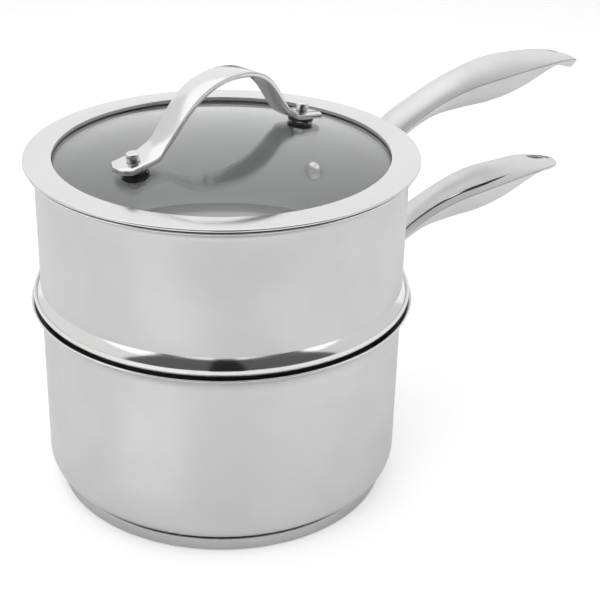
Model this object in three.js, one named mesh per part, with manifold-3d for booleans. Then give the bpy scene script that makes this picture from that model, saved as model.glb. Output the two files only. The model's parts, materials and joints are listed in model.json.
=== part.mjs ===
// Saucepan with a steamer insert and a domed glass lid.
// Millimetres, +Z up. The origin is the middle of the base and both long handles point along +X.
import * as THREE from 'three';
import { mergeVertices } from 'three/addons/utils/BufferGeometryUtils.js';
import Module from 'manifold-3d';

// Driving dimensions: clearances
const seatGap = 0.3; // between pieces that rest on or are cut to each other
const rivetSeatGap = 0.8; // under a flat rivet head on the hollow side of a round wall

// Driving dimensions: saucepan
const potRadius = 100;
const potWall = 1;
const potRimHeight = 111.4;
const potLipReach = 5.8; // how far the lip stands out from the wall
const potLipAngle = 60; // degrees that the lip turns outward from upright
const potCornerRadius = 11;
const potRivetDrop = 35.4; // from the rim down to the rivets
const baseInset = 6.2; // from the wall in to the base cap
const baseHeight = 8.3;
const baseCapWall = 0.8;
const baseEdgeRound = 2.2;

// Driving dimensions: insert
const insertRadius = potRadius; // the two outer walls line up
const insertWall = 1;
const insertLipReach = 4.8;
const insertLipAngle = 80;
const insertWallHeight = 68.4; // from the crease up to the rim
const insertRivetDrop = 40.9;
const beadHeight = 10.1; // from the saucepan's rim up to the crease
const beadReach = 3.8; // how far the bead stands out from the saucepan's wall
const nestClearance = 5; // between the insert's lower wall and the saucepan
const nestDepth = 35.4; // from the saucepan's rim down to the insert's floor
const floorCornerRadius = 10;
const stepHeight = 14; // from the lower wall out to the seat
const seatTopAngle = 35; // the seat runs between these angles of the saucepan's lip
const seatBottomAngle = 15;
const steamHoleRadius = 2.8;
const steamHolePitch = 19;
const steamHoleRings = 3;

// Driving dimensions: long handles
const rivetSpacing = 50;
const rivetShankRadius = 3;
const rivetHeadRadius = 6;
const rivetHeadHeight = 3;
const flangeMargin = 9; // from a rivet's axis to the end of the flange
const flangeHeight = 26;
const flangeThickness = 2.5;
const tangLength = 30;
const potHandleLength = 198.7; // from the flange to the tip
const insertHandleLength = 207.9;
const handleRise = 41; // highest point of the side crease above the rivets
const potHandleTipRise = 36.1;
const insertHandleTipRise = 32.5;
const handleSheet = 1.2;
const rootHalfWidth = 10.7;
const rootCrown = 7;
const rootBelly = 6.3;
const gripHalfWidth = 15.7;
const gripCrown = 9.7;
const gripBelly = 17.8;
const tabHalfWidth = 6.3;
const tabCrown = 1.8;
const tabBelly = 5.3;
const tipRound = 9.5;
const tipBlunting = 0.35; // how much of the width, squared, is lost at the tip
const hangHoleLength = 21;
const hangHoleWidth = 8.5;
const hangHoleFromTip = 14.5;
const slotLength = 139; // from the root
const slotHeight = 1.3; // where it is widest
const crownSlotRise = 3.7; // above the side crease
const potBellySlotShare = 0.7; // of the way from the middle of the belly to the crease
const insertBellySlotShare = 0.42;

// Driving dimensions: lid
const lidOverhang = 0.9; // past the insert's lip
const lidRimWidth = 15.3;
const lidRimSheet = 1;
const lidRimTurn = 1.3; // depth of the turned-down outer edge
const lidRimSlope = 0.3; // rise from the outer to the inner edge
const lidSealThickness = 0.7; // where it lies on the insert's lip
const lidSealShow = 0.4; // how far it stands out from under the rim's inner edge
const glassDomeRadius = 395;
const glassSink = 0.08; // of the glass below the insert's rim, under the lid rim's inner edge
const glassThickness = 4;
const glassClearance = 1.5; // between the glass and the insert's wall
const boltSpacing = 117; // where the bolts meet the glass
const boltShankRadius = 2.2;
const boltHeadRadius = 3.5;
const boltHeadHeight = 4.3;
const boltTail = 1; // past the nut
const strapThickness = 2.6;
const strapWidth = 17;
const strapNeckWidth = 13.5; // just above the feet
const strapRise = 35.3; // from the middle of the dome up to the top of the arch
const strapLean = 3.8; // how far the arch leans towards the long handles
const footRise = 5.4; // from the glass up to the top of a foot, along its bolt
const footToe = 11; // from a bolt to the end of its foot
const footHeel = 6.5; // from a bolt to where the strap starts to rise
const footClip = 3.5;
const footEndWidth = 6;
const spacerRadius = 7;
const washerRadius = 7.5;
const washerThickness = 1.6;
const nutRadius = 5;
const nutHeight = 4;

// Facets
const roundSegments = 36;
const smallSegments = 12;
const handleSteps = 22;
const handleSides = 8;
const steamHoleSides = 6;

// Finishes
const satinSteel = new THREE.MeshStandardMaterial({ color: 0xc9c9c7, roughness: 0.38, metalness: 1 });
const brightSteel = new THREE.MeshStandardMaterial({ color: 0xd6d6d4, roughness: 0.18, metalness: 1 });
const aluminium = new THREE.MeshStandardMaterial({ color: 0xb9babc, roughness: 0.5, metalness: 1 });
const darkRubber = new THREE.MeshStandardMaterial({ color: 0x161616, roughness: 0.7, metalness: 0 });
const clearGlass = new THREE.MeshStandardMaterial({
  color: 0xb8bdbd, roughness: 0.05, metalness: 0, transparent: true, opacity: 0.35,
});

const wasm = await Module();
wasm.setup();
const mix = THREE.MathUtils.lerp;
const radians = THREE.MathUtils.degToRad;
const point = (across, up) => new THREE.Vector2(across, up);

// Closed meshes

// Joins shared corners, drops flat triangles and turns the faces outward.
function weld(geometry) {
  const bare = geometry.clone();
  bare.deleteAttribute('normal');
  bare.deleteAttribute('uv');
  const merged = mergeVertices(bare, 1e-4);
  const place = merged.getAttribute('position');
  const corner = (i) => new THREE.Vector3().fromBufferAttribute(place, i);
  const triangles = [];
  let volume = 0;
  for (let i = 0; i < merged.index.count; i += 3) {
    const [a, b, c] = [0, 1, 2].map((k) => merged.index.getX(i + k));
    if (a !== b && b !== c && c !== a) {
      triangles.push([a, b, c]);
      volume += corner(a).dot(corner(b).cross(corner(c)));
    }
  }
  const outward = volume < 0 ? triangles.map(([a, b, c]) => [a, c, b]) : triangles;
  merged.setIndex(outward.flat());
  return merged;
}

function toManifold(geometry) {
  const closed = weld(geometry);
  const vertProperties = new Float32Array(closed.getAttribute('position').array);
  const triVerts = new Uint32Array(closed.index.array);
  return new wasm.Manifold(new wasm.Mesh({ numProp: 3, vertProperties, triVerts }));
}

function fromManifold(solid) {
  const { vertProperties, triVerts } = solid.getMesh();
  const geometry = new THREE.BufferGeometry();
  geometry.setAttribute('position', new THREE.BufferAttribute(vertProperties, 3));
  geometry.setIndex(Array.from(triVerts));
  return geometry;
}

function cut(geometry, tools) {
  return fromManifold(tools.reduce((rest, tool) => rest.subtract(toManifold(tool)), toManifold(geometry)));
}

function piece(name, geometry, finish) {
  const mesh = new THREE.Mesh(weld(geometry), finish);
  mesh.geometry.computeVertexNormals();
  mesh.name = name;
  return mesh;
}

// Turned shapes

function lathe(profile, segments = roundSegments) {
  return new THREE.LatheGeometry(profile, segments).rotateX(Math.PI / 2);
}

function ring(profile) {
  return lathe([...profile, profile[0]]);
}

function disc(radius, bottom, top, segments = roundSegments) {
  return lathe([point(0, bottom), point(radius, bottom), point(radius, top), point(0, top)], segments);
}

// Points on a circle about (across, up), from one angle in degrees to another.
function arc(across, up, radius, from, to, steps) {
  return Array.from({ length: steps + 1 }, (_, i) => {
    const angle = radians(mix(from, to, i / steps));
    return point(across + radius * Math.cos(angle), up + radius * Math.sin(angle));
  });
}

// Closes a sheet of one thickness whose outer skin is given from the axis to the rim.
function sheet(skin, thickness) {
  const sides = skin.slice(1).map((next, i) => {
    const run = next.clone().sub(skin[i]).normalize();
    return point(-run.y, run.x);
  });
  const inner = skin.map((corner, i) => {
    const before = sides[Math.max(i - 1, 0)];
    const after = sides[Math.min(i, sides.length - 1)];
    const miter = before.clone().add(after).divideScalar(1 + before.dot(after));
    return corner.clone().addScaledVector(miter, thickness);
  });
  return [...skin, ...inner.reverse()];
}

// A pouring lip: a wall that turns outward about a centre outside the vessel.
function lip(wallRadius, reach, wall, rimHeight, angle) {
  const turn = radians(angle);
  const bend = reach / (1 - Math.cos(turn));
  const start = rimHeight - (bend + wall) * Math.sin(turn);
  return { bend, start, across: wallRadius + bend };
}

function lipSkin({ across, start, bend }, angle) {
  return arc(across, start, bend, 180, 180 - angle, 4);
}

const creaseHeight = potRimHeight + beadHeight;
const insertRimHeight = creaseHeight + insertWallHeight;
const potLip = lip(potRadius, potLipReach, potWall, potRimHeight, potLipAngle);
const insertLip = lip(insertRadius, insertLipReach, insertWall, insertRimHeight, insertLipAngle);

const sides = { left: 1, right: -1 };
const bothSides = Object.values(sides);

// The two walls that carry a long handle
const saucepanWall = {
  radius: potRadius,
  wall: potWall,
  height: potRimHeight - potRivetDrop,
  handleLength: potHandleLength,
  handleTipRise: potHandleTipRise,
  slotSide: sides.right,
  bellyShare: potBellySlotShare,
};
const insertUpperWall = {
  radius: insertRadius,
  wall: insertWall,
  height: insertRimHeight - insertRivetDrop,
  handleLength: insertHandleLength,
  handleTipRise: insertHandleTipRise,
  slotSide: sides.left,
  bellyShare: insertBellySlotShare,
};

// Rivets, set square to the wall on both sides of the handle

const flangeFace = ({ radius }) => radius + seatGap + flangeThickness;

function onRivetAxis(geometry, side, { radius, height }) {
  const turn = Math.asin(rivetSpacing / 2 / radius);
  return geometry.rotateY(Math.PI / 2).rotateZ(side * turn).translate(0, 0, height);
}

function rivetHole(side, vessel) {
  const from = vessel.radius - 3 * vessel.wall;
  const to = flangeFace(vessel) + flangeThickness;
  return onRivetAxis(disc(rivetShankRadius + seatGap, from, to, smallSegments), side, vessel);
}

function rivetHoles(vessel) {
  return bothSides.map((side) => rivetHole(side, vessel));
}

function rivet(side, vessel) {
  const innerFace = vessel.radius - vessel.wall - rivetSeatGap;
  const outerFace = flangeFace(vessel) + seatGap;
  const profile = [
    point(0, innerFace - rivetHeadHeight),
    point(rivetHeadRadius * 0.6, innerFace - rivetHeadHeight * 0.8),
    point(rivetHeadRadius, innerFace - rivetHeadHeight * 0.15),
    point(rivetHeadRadius, innerFace),
    point(rivetShankRadius, innerFace),
    point(rivetShankRadius, outerFace),
    point(rivetHeadRadius, outerFace),
    point(rivetHeadRadius * 0.8, outerFace + rivetHeadHeight * 0.6),
    point(0, outerFace + rivetHeadHeight * 0.6),
  ];
  return onRivetAxis(lathe(profile, smallSegments), side, vessel);
}

// Saucepan

function saucepanBody() {
  const skin = [
    point(0, baseHeight),
    ...arc(potRadius - potCornerRadius, baseHeight + potCornerRadius, potCornerRadius, -90, 0, 5),
    ...lipSkin(potLip, potLipAngle),
  ];
  return cut(lathe(sheet(skin, potWall)), rivetHoles(saucepanWall));
}

const baseRadius = potRadius - baseInset;

function baseCap() {
  const skin = [
    point(0, 0),
    ...arc(baseRadius - baseEdgeRound, baseEdgeRound, baseEdgeRound, -90, 0, 3),
    point(baseRadius, baseHeight - seatGap),
  ];
  return lathe(sheet(skin, baseCapWall));
}

function baseCore() {
  const radius = baseRadius - baseCapWall - seatGap;
  const bottom = baseCapWall + seatGap;
  return lathe([
    point(0, bottom),
    point(radius - baseEdgeRound, bottom),
    point(radius, bottom + baseEdgeRound),
    point(radius, baseHeight - seatGap),
    point(0, baseHeight - seatGap),
  ]);
}

// Insert

const floorHeight = potRimHeight - nestDepth;
const nestRadius = potRadius - potWall - nestClearance;

function steamHoles() {
  const reach = [floorHeight - insertWall, floorHeight + 2 * insertWall];
  const holes = [disc(steamHoleRadius, ...reach, steamHoleSides)];
  for (let row = 1; row <= steamHoleRings; row += 1) {
    for (let i = 0; i < 6 * row; i += 1) {
      const turn = (2 * Math.PI * i) / (6 * row);
      const hole = disc(steamHoleRadius, ...reach, steamHoleSides);
      holes.push(hole.translate(row * steamHolePitch, 0, 0).rotateZ(turn));
    }
  }
  return holes;
}

function insertBody() {
  const seatBend = potLip.bend + potWall + seatGap;
  const seat = arc(potLip.across, potLip.start, seatBend, 180 - seatBottomAngle, 180 - seatTopAngle, 3);
  const [seatFoot, seatEdge] = [seat[0], seat.at(-1)];
  const bead = new THREE.CubicBezierCurve(
    seatEdge,
    point(seatEdge.x, mix(potRimHeight, creaseHeight, 0.16)),
    point(potRadius + beadReach * 2.24, mix(potRimHeight, creaseHeight, 0.65)),
    point(insertRadius, creaseHeight),
  ).getPoints(6).slice(1);
  const step = new THREE.CubicBezierCurve(
    point(nestRadius, seatFoot.y - stepHeight),
    point(nestRadius, seatFoot.y - stepHeight * 0.4),
    point(mix(nestRadius, seatFoot.x, 0.5), seatFoot.y - stepHeight * 0.3),
    seatFoot,
  ).getPoints(4).slice(0, -1);
  const corner = point(nestRadius - floorCornerRadius, floorHeight + floorCornerRadius);
  const skin = [
    point(0, floorHeight),
    ...arc(corner.x, corner.y, floorCornerRadius, -90, 0, 3),
    ...step,
    ...seat,
    ...bead,
    ...lipSkin(insertLip, insertLipAngle),
  ];
  return cut(lathe(sheet(skin, insertWall)), [...steamHoles(), ...rivetHoles(insertUpperWall)]);
}

// Long handles: hollow, in two halves that meet along a side crease.
// They are shaped from the root at x = 0, with the rivets at z = 0.

// Each row is a share of the length, then shares from root to grip of the rise, width, crown, belly
// and ridge. The ridge is how far the round section has turned into one with a side crease.
const rootToGrip = [
  [0, 0, 0, 0, 0, 0],
  [0.137, 0.545, 0, 0, 0.03, 0],
  [0.284, 0.815, 0, 0, 0.19, 0.2],
  [0.431, 0.954, 0.36, 0.6, 0.7, 0.8],
  [0.578, 1, 0.95, 1, 1, 1],
].map(([along, rise, width, crown, belly, ridge]) => ({
  along,
  rise: rise * handleRise,
  width: mix(rootHalfWidth, gripHalfWidth, width),
  crown: mix(rootCrown, gripCrown, crown),
  belly: mix(rootBelly, gripBelly, belly),
  ridge,
}));

// The same, with the shares from tip to grip.
const gripToTip = ({ handleTipRise }) => [
  [0.71, 1, 1, 0.75, 0.8],
  [0.855, 0.91, 1, 0.26, 0.02],
  [0.942, 0.57, 0.68, 0.04, 0.1],
  [1, 0, 0, 0, 0],
].map(([along, rise, width, crown, belly]) => ({
  along,
  rise: mix(handleTipRise, handleRise, rise),
  width: mix(tabHalfWidth, gripHalfWidth, width),
  crown: mix(tabCrown, gripCrown, crown),
  belly: mix(tabBelly, gripBelly, belly),
  ridge: 1,
}));

// A section's height falls from its middle to its sides as (1 - share ** fullness) ** slope.
const crownFullness = 2;
const bellyFullness = 2.4;
const roundSlope = 0.5;
const crownSlope = 0.85;
const bellySlope = 0.7;

function handleCurve(vessel, pick) {
  const rows = [...rootToGrip, ...gripToTip(vessel)];
  return new THREE.CatmullRomCurve3(rows.map(pick), false, 'catmullrom');
}

// The sections from root to tip, rounded off in plan at the tip.
function handleSections(vessel) {
  const { handleLength } = vessel;
  const lines = handleCurve(vessel, ({ along, rise, width }) => new THREE.Vector3(along, rise, width));
  const depths = handleCurve(vessel, ({ ridge, crown, belly }) => new THREE.Vector3(ridge, crown, belly));
  return Array.from({ length: handleSteps + 1 }, (_, i) => {
    const line = lines.getPoint(i / handleSteps);
    const depth = depths.getPoint(i / handleSteps);
    const reach = line.x * handleLength;
    const past = Math.max(0, (reach - handleLength + tipRound) / tipRound);
    const width = line.z * Math.sqrt(1 - tipBlunting * past ** 3);
    return { reach, rise: line.y, width, crown: depth.y, belly: depth.z, ridge: depth.x };
  });
}

// The faceted handle's section at a distance from its root.
function sectionAt(sections, reach) {
  const next = Math.max(1, sections.findIndex((section) => section.reach >= reach));
  const [from, to] = [sections[next - 1], sections[next]];
  const share = (reach - from.reach) / (to.reach - from.reach);
  return Object.fromEntries(Object.keys(from).map((key) => [key, mix(from[key], to[key], share)]));
}

// Half a section: the crown for way 1, the belly for way -1.
function halfLoop({ reach, rise, width, crown, belly, ridge }, way, inset, lift) {
  const depth = way > 0 ? crown : belly;
  const fullness = way > 0 ? crownFullness : bellyFullness;
  const slope = mix(roundSlope, way > 0 ? crownSlope : bellySlope, ridge);
  return Array.from({ length: handleSides + 1 }, (_, i) => {
    const share = Math.cos(Math.PI * (i / handleSides));
    const up = (depth - inset) * (1 - Math.abs(share) ** fullness) ** slope;
    return new THREE.Vector3(reach, (width - inset) * share, rise + way * (lift + up));
  });
}

// Skins a row of closed loops of equal length and closes both ends with a strip.
function loft(loops) {
  const count = loops[0].length;
  const index = [];
  loops.slice(1).forEach((_, row) => {
    for (let i = 0; i < count; i += 1) {
      const [a, b] = [row * count + i, row * count + ((i + 1) % count)];
      index.push(a, b, b + count, a, b + count, a + count);
    }
  });
  const last = (loops.length - 1) * count;
  for (let i = 0; i < count / 2 - 1; i += 1) {
    const [a, b, c, d] = [i, i + 1, count - 2 - i, count - 1 - i];
    index.push(a, c, b, a, d, c);
    index.push(last + a, last + b, last + c, last + a, last + c, last + d);
  }
  const geometry = new THREE.BufferGeometry().setFromPoints(loops.flat());
  geometry.setIndex(index);
  return geometry;
}

function handleShell(sections, way) {
  return loft(sections.map((section) => {
    const outer = halfLoop(section, way, 0, seatGap / 2);
    const inner = halfLoop(section, way, handleSheet, seatGap / 2);
    return [...outer, ...inner.reverse()];
  }));
}

// A stadium: a bar of one length with round ends.
function stadium(length, width) {
  const half = (length - width) / 2;
  const shape = new THREE.Shape();
  shape.absarc(half, 0, width / 2, -Math.PI / 2, Math.PI / 2);
  shape.absarc(-half, 0, width / 2, Math.PI / 2, (3 * Math.PI) / 2);
  return shape;
}

function prism(shape, depth) {
  return new THREE.ExtrudeGeometry(shape, { depth, bevelEnabled: false, curveSegments: 5 });
}

const handleHeight = handleRise + gripCrown + gripBelly;

// A long hole near the tip, cut right through.
function hangHole({ handleLength }) {
  const hole = prism(stadium(hangHoleLength, hangHoleWidth), handleHeight);
  return hole.translate(handleLength - hangHoleFromTip, 0, 0);
}

// Half a slot's outline: shares of its length, then of its height.
const slotEdge = new THREE.SplineCurve([point(0, 0.22), point(0.5, 0.36), point(0.78, 0.5), point(1, 0)]);

// A leaf that widens from the root towards the tip, about a line along the handle.
function leaf(sections, middleOf) {
  const spine = slotEdge.getPoints(9).map((edge) => {
    const section = sectionAt(sections, slotLength * edge.x);
    return { reach: section.reach, middle: middleOf(section), half: slotHeight * edge.y };
  });
  const below = spine.map(({ reach, middle, half }) => point(reach, middle - half));
  const above = spine.map(({ reach, middle, half }) => point(reach, middle + half));
  return new THREE.Shape([...below, ...above.reverse().slice(1)]);
}

// A slot cut level into one side of the crown.
function crownSlot(sections, side) {
  const depth = 2 * gripHalfWidth;
  const slot = prism(leaf(sections, ({ rise }) => rise + crownSlotRise), depth);
  return slot.translate(0, 0, side > 0 ? -depth : 0).rotateX(Math.PI / 2);
}

// A slot cut upright into one side of the belly.
function bellySlot(sections, side, share) {
  const slot = prism(leaf(sections, ({ width }) => side * share * width), handleHeight);
  return slot.translate(0, 0, -gripBelly);
}

// A curved flange on the wall, with a tang that fills the root of the handle.
function bracket(vessel) {
  const { radius, height } = vessel;
  const plate = prism(stadium(rivetSpacing + 2 * flangeMargin, flangeHeight), radius);
  plate.rotateX(Math.PI / 2).rotateZ(Math.PI / 2).translate(radius / 2, 0, 0);
  const band = ring([
    point(radius + seatGap, -flangeHeight),
    point(flangeFace(vessel), -flangeHeight),
    point(flangeFace(vessel), flangeHeight),
    point(radius + seatGap, flangeHeight),
  ]);
  const inset = handleSheet + seatGap;
  const sections = handleSections(vessel);
  const seated = { ...sections[0], reach: -seatGap - flangeThickness / 2 };
  const inside = sections.filter(({ reach }) => reach < tangLength);
  const tang = loft([seated, ...inside, sectionAt(sections, tangLength)].map((section) => [
    ...halfLoop(section, 1, inset, 0),
    ...halfLoop(section, -1, inset, 0).reverse().slice(1, -1),
  ])).translate(flangeFace(vessel) + seatGap, 0, 0);
  const flange = toManifold(band).intersect(toManifold(plate));
  const whole = fromManifold(flange.add(toManifold(tang))).translate(0, 0, height);
  return cut(whole, rivetHoles(vessel));
}

// Lid

const lidRadius = insertRadius + insertLipReach + lidOverhang;
const lidRimInnerRadius = lidRadius - lidRimWidth;
const lidRimUnder = insertRimHeight + 2 * seatGap + lidSealThickness;
const lidRimTop = lidRimUnder + lidRimSheet;
const glassRadius = insertRadius - insertWall - glassClearance;
const glassBow = glassDomeRadius - Math.sqrt(glassDomeRadius ** 2 - lidRimInnerRadius ** 2);
const glassTopHeight = insertRimHeight - glassSink + glassBow;
const strapTopHeight = glassTopHeight + strapRise;
const domeMiddle = glassTopHeight - glassDomeRadius;
const boltTilt = Math.asin(boltSpacing / 2 / glassDomeRadius);

// Heights along a bolt, as if it stood on the middle of the dome
const footTop = glassTopHeight + footRise;
const footUnder = footTop - strapThickness;
const washerUnder = glassTopHeight - glassThickness - seatGap - washerThickness;
const nutUnder = washerUnder - seatGap - nutHeight;

function domeHeight(across, drop = 0) {
  const bend = glassDomeRadius - drop;
  return domeMiddle + Math.sqrt(bend * bend - across * across);
}

function domeSkin(radius, drop, steps) {
  return Array.from({ length: steps + 1 }, (_, i) => {
    const across = (radius * i) / steps;
    return point(across, domeHeight(across, drop));
  });
}

// Everything between two domes concentric with the glass, out past its edge.
function domeBand(outerDrop, innerDrop) {
  const reach = glassRadius + spacerRadius;
  return lathe([...domeSkin(reach, innerDrop, 8), ...domeSkin(reach, outerDrop, 8).reverse()]);
}

// Tips a piece from the middle of the dome out to a bolt, square to the glass.
function tipOut(geometry, side) {
  return geometry.translate(0, 0, -domeMiddle).rotateY(side * boltTilt).translate(0, 0, domeMiddle);
}

function boltHole(side) {
  return tipOut(disc(boltShankRadius + seatGap, floorHeight, strapTopHeight, smallSegments), side);
}

function lidGlass() {
  const profile = [...domeSkin(glassRadius, glassThickness, 6), ...domeSkin(glassRadius, 0, 6).reverse()];
  return cut(lathe(profile), bothSides.map(boltHole));
}

function lidRim() {
  const inner = lidRimTop + lidRimSlope;
  const turnInner = lidRadius - lidRimSheet;
  return ring([
    point(turnInner, lidRimUnder),
    point(turnInner, lidRimTop - lidRimTurn),
    point(lidRadius, lidRimTop - lidRimTurn),
    point(lidRadius, lidRimTop - lidRimSheet * 0.5),
    point(lidRadius - lidRimSheet * 0.6, lidRimTop),
    point(lidRimInnerRadius, inner),
    point(lidRimInnerRadius, inner - lidRimSheet),
  ]);
}

function lidSeal() {
  const bed = [0, 0.5, 1].map((share) => {
    const across = mix(lidRimInnerRadius - lidSealShow, glassRadius, share);
    return point(across, domeHeight(across) + seatGap);
  });
  const lipTop = insertRimHeight + seatGap;
  const outer = lidRadius - lidRimSheet - seatGap;
  const under = lidRimUnder - seatGap;
  return ring([
    ...bed,
    point(glassRadius + seatGap, lipTop),
    point(outer, lipTop),
    point(outer, under),
    point(lidRimInnerRadius - lidSealShow, under + lidRimSlope),
  ]);
}

// A place on the line of a foot's top, at a distance out from its bolt.
function onFoot(side, out) {
  const place = point(out, glassDomeRadius + footRise).rotateAround(point(0, 0), -boltTilt);
  return point(side * place.x, place.y + domeMiddle);
}

function strap() {
  const crest = point(strapLean, strapTopHeight);
  const [toHandles, away] = bothSides.map((side) => {
    const heel = onFoot(side, -footHeel);
    const heelPull = onFoot(side, -footHeel - strapRise * 0.48);
    const crestPull = point(strapLean + side * strapRise * 1.02, strapTopHeight);
    const leg = new THREE.CubicBezierCurve(heel, heelPull, crestPull, crest);
    return [onFoot(side, footToe), ...leg.getPoints(10)];
  });
  const skin = [...toHandles, ...away.reverse().slice(1)];
  const bar = prism(new THREE.Shape(sheet(skin, strapThickness)), strapWidth);
  bar.translate(0, 0, -strapWidth / 2).rotateX(Math.PI / 2);
  const waist = strapWidth / 2;
  const heel = onFoot(1, -footHeel).x;
  const toe = onFoot(1, footToe).x;
  const quarter = [
    point(heel * 0.3, waist),
    point(heel * 0.8, strapNeckWidth / 2),
    point(heel * 0.94, waist),
    point(toe - footClip, waist),
    point(toe, footEndWidth / 2),
  ];
  const back = quarter.map(({ x, y }) => point(-x, y)).reverse();
  const front = [...quarter].reverse().map(({ x, y }) => point(x, -y));
  const frontLeft = quarter.map(({ x, y }) => point(-x, -y));
  const plan = new THREE.Shape([...quarter, ...front, ...frontLeft, ...back]);
  const bent = toManifold(bar).intersect(toManifold(prism(plan, 2 * strapTopHeight)));
  return cut(fromManifold(bent), bothSides.map(boltHole));
}

function lidBolt(side) {
  const head = footTop + seatGap;
  const end = nutUnder - boltTail;
  const profile = [
    point(0, end),
    point(boltShankRadius, end),
    point(boltShankRadius, head),
    point(boltHeadRadius, head),
    point(boltHeadRadius, head + boltHeadHeight * 0.8),
    point(boltHeadRadius * 0.85, head + boltHeadHeight),
    point(0, head + boltHeadHeight),
  ];
  return tipOut(lathe(profile, smallSegments), side);
}

function collar(side, radius, bottom, top, segments = smallSegments) {
  return cut(tipOut(disc(radius, bottom, top, segments), side), [boltHole(side)]);
}

function lidSpacer(side) {
  const blank = collar(side, spacerRadius, glassTopHeight - seatGap, footUnder - seatGap);
  return cut(blank, [domeBand(-seatGap, glassThickness)]);
}

function lidWasher(side) {
  const blank = collar(side, washerRadius, washerUnder, glassTopHeight - glassThickness);
  return cut(blank, [domeBand(0, glassThickness + seatGap)]);
}

function lidNut(side) {
  return collar(side, nutRadius, nutUnder, nutUnder + nutHeight, 6);
}

// Assembly

// The crown is slotted on one side of the handle and the belly on the other.
function handledVessel(prefix, vessel, body) {
  const place = [flangeFace(vessel) + seatGap, 0, vessel.height];
  const { slotSide, bellyShare } = vessel;
  const sections = handleSections(vessel);
  const topCuts = [hangHole(vessel), crownSlot(sections, slotSide)];
  const bottomCuts = [hangHole(vessel), bellySlot(sections, -slotSide, bellyShare)];
  const top = cut(handleShell(sections, 1), topCuts).translate(...place);
  const bottom = cut(handleShell(sections, -1), bottomCuts).translate(...place);
  const group = new THREE.Group();
  group.add(piece(`${prefix}_body`, body, satinSteel));
  group.add(piece(`${prefix}_handle_top`, top, satinSteel));
  group.add(piece(`${prefix}_handle_bottom`, bottom, satinSteel));
  group.add(piece(`${prefix}_bracket`, bracket(vessel), satinSteel));
  for (const [name, side] of Object.entries(sides)) {
    group.add(piece(`${prefix}_rivet_${name}`, rivet(side, vessel), brightSteel));
  }
  return group;
}

const saucepan = handledVessel('saucepan', saucepanWall, saucepanBody());
saucepan.add(piece('base_core', baseCore(), aluminium));
saucepan.add(piece('base_cap', baseCap(), brightSteel));

const insert = handledVessel('insert', insertUpperWall, insertBody());

const lid = new THREE.Group();
lid.add(piece('lid_glass', lidGlass(), clearGlass));
lid.add(piece('lid_rim', lidRim(), brightSteel));
lid.add(piece('lid_seal', lidSeal(), darkRubber));
lid.add(piece('lid_handle', strap(), brightSteel));
for (const [name, side] of Object.entries(sides)) {
  lid.add(piece(`lid_bolt_${name}`, lidBolt(side), brightSteel));
  lid.add(piece(`lid_spacer_${name}`, lidSpacer(side), darkRubber));
  lid.add(piece(`lid_washer_${name}`, lidWasher(side), darkRubber));
  lid.add(piece(`lid_nut_${name}`, lidNut(side), brightSteel));
}

const part = new THREE.Group();
part.add(saucepan, insert, lid);

export default part;
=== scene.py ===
"""Looks of a saucepan that carries a steamer insert and a domed glass lid.

Sizes are millimetres in the classes and metres in the meshes. +Z is up, the origin is the middle
of the base, and both long handles point along +X.
"""

import json
import logging
import math
from collections.abc import Callable, Sequence
from dataclasses import dataclass
from enum import Enum
from typing import ClassVar

import bmesh
import bpy
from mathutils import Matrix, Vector

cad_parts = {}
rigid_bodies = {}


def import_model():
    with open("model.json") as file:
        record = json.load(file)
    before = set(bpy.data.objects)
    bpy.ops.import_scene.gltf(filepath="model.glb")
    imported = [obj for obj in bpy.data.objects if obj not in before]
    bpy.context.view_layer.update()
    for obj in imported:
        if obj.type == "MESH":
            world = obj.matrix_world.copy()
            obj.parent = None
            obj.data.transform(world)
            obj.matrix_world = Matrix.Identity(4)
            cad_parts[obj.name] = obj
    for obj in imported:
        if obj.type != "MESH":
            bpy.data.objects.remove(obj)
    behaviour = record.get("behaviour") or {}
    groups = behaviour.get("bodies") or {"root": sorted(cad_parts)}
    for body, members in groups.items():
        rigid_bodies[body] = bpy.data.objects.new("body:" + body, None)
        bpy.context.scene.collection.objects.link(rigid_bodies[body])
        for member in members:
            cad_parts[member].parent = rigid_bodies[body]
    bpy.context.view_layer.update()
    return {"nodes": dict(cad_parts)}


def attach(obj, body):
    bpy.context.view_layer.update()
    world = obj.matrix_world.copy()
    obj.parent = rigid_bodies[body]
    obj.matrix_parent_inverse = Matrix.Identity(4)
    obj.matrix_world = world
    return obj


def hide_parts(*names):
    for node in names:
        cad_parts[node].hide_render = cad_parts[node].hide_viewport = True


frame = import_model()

MM = 0.001
WELD = 1e-6
NEAR = 3e-5
ROUND_STEPS = 180
SMALL_STEPS = 40
RIM_STEPS = 6
SEARCH_STEPS = 30
CARD_STEPS = 16
LOG = logging.getLogger("saucepan_looks")

Point = tuple[float, float]
Colour = tuple[float, float, float, float]


class Body(Enum):
    """The three bodies that part when the set is taken to pieces."""

    SAUCEPAN = "saucepan"
    INSERT = "insert"
    LID = "lid"


class Slot(Enum):
    """The record's material slots."""

    SATIN = "satin_steel"
    POLISHED = "polished_steel"
    HANDLE = "handle_steel"
    ALUMINIUM = "aluminium"
    RUBBER = "dark_rubber"
    GLASS = "clear_glass"


class Side(Enum):
    """The two sides of a handle: left is +Y and right is -Y."""

    LEFT = 1
    RIGHT = -1


class Half(Enum):
    """The two shells of a long handle."""

    CROWN = 1
    BELLY = -1


class Grain(Enum):
    """How the metal was rubbed: round the axis, or along the length."""

    TURNED = "turned_grain"
    DRAWN = "drawn_grain"


class Cut(Enum):
    """What a cutter does to a piece."""

    AWAY = "DIFFERENCE"
    KEEP = "INTERSECT"
    JOIN = "UNION"


def mix(start: float, end: float, share: float) -> float:
    """Returns the value that lies a share of the way from start to end."""
    return start + (end - start) * share


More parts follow.
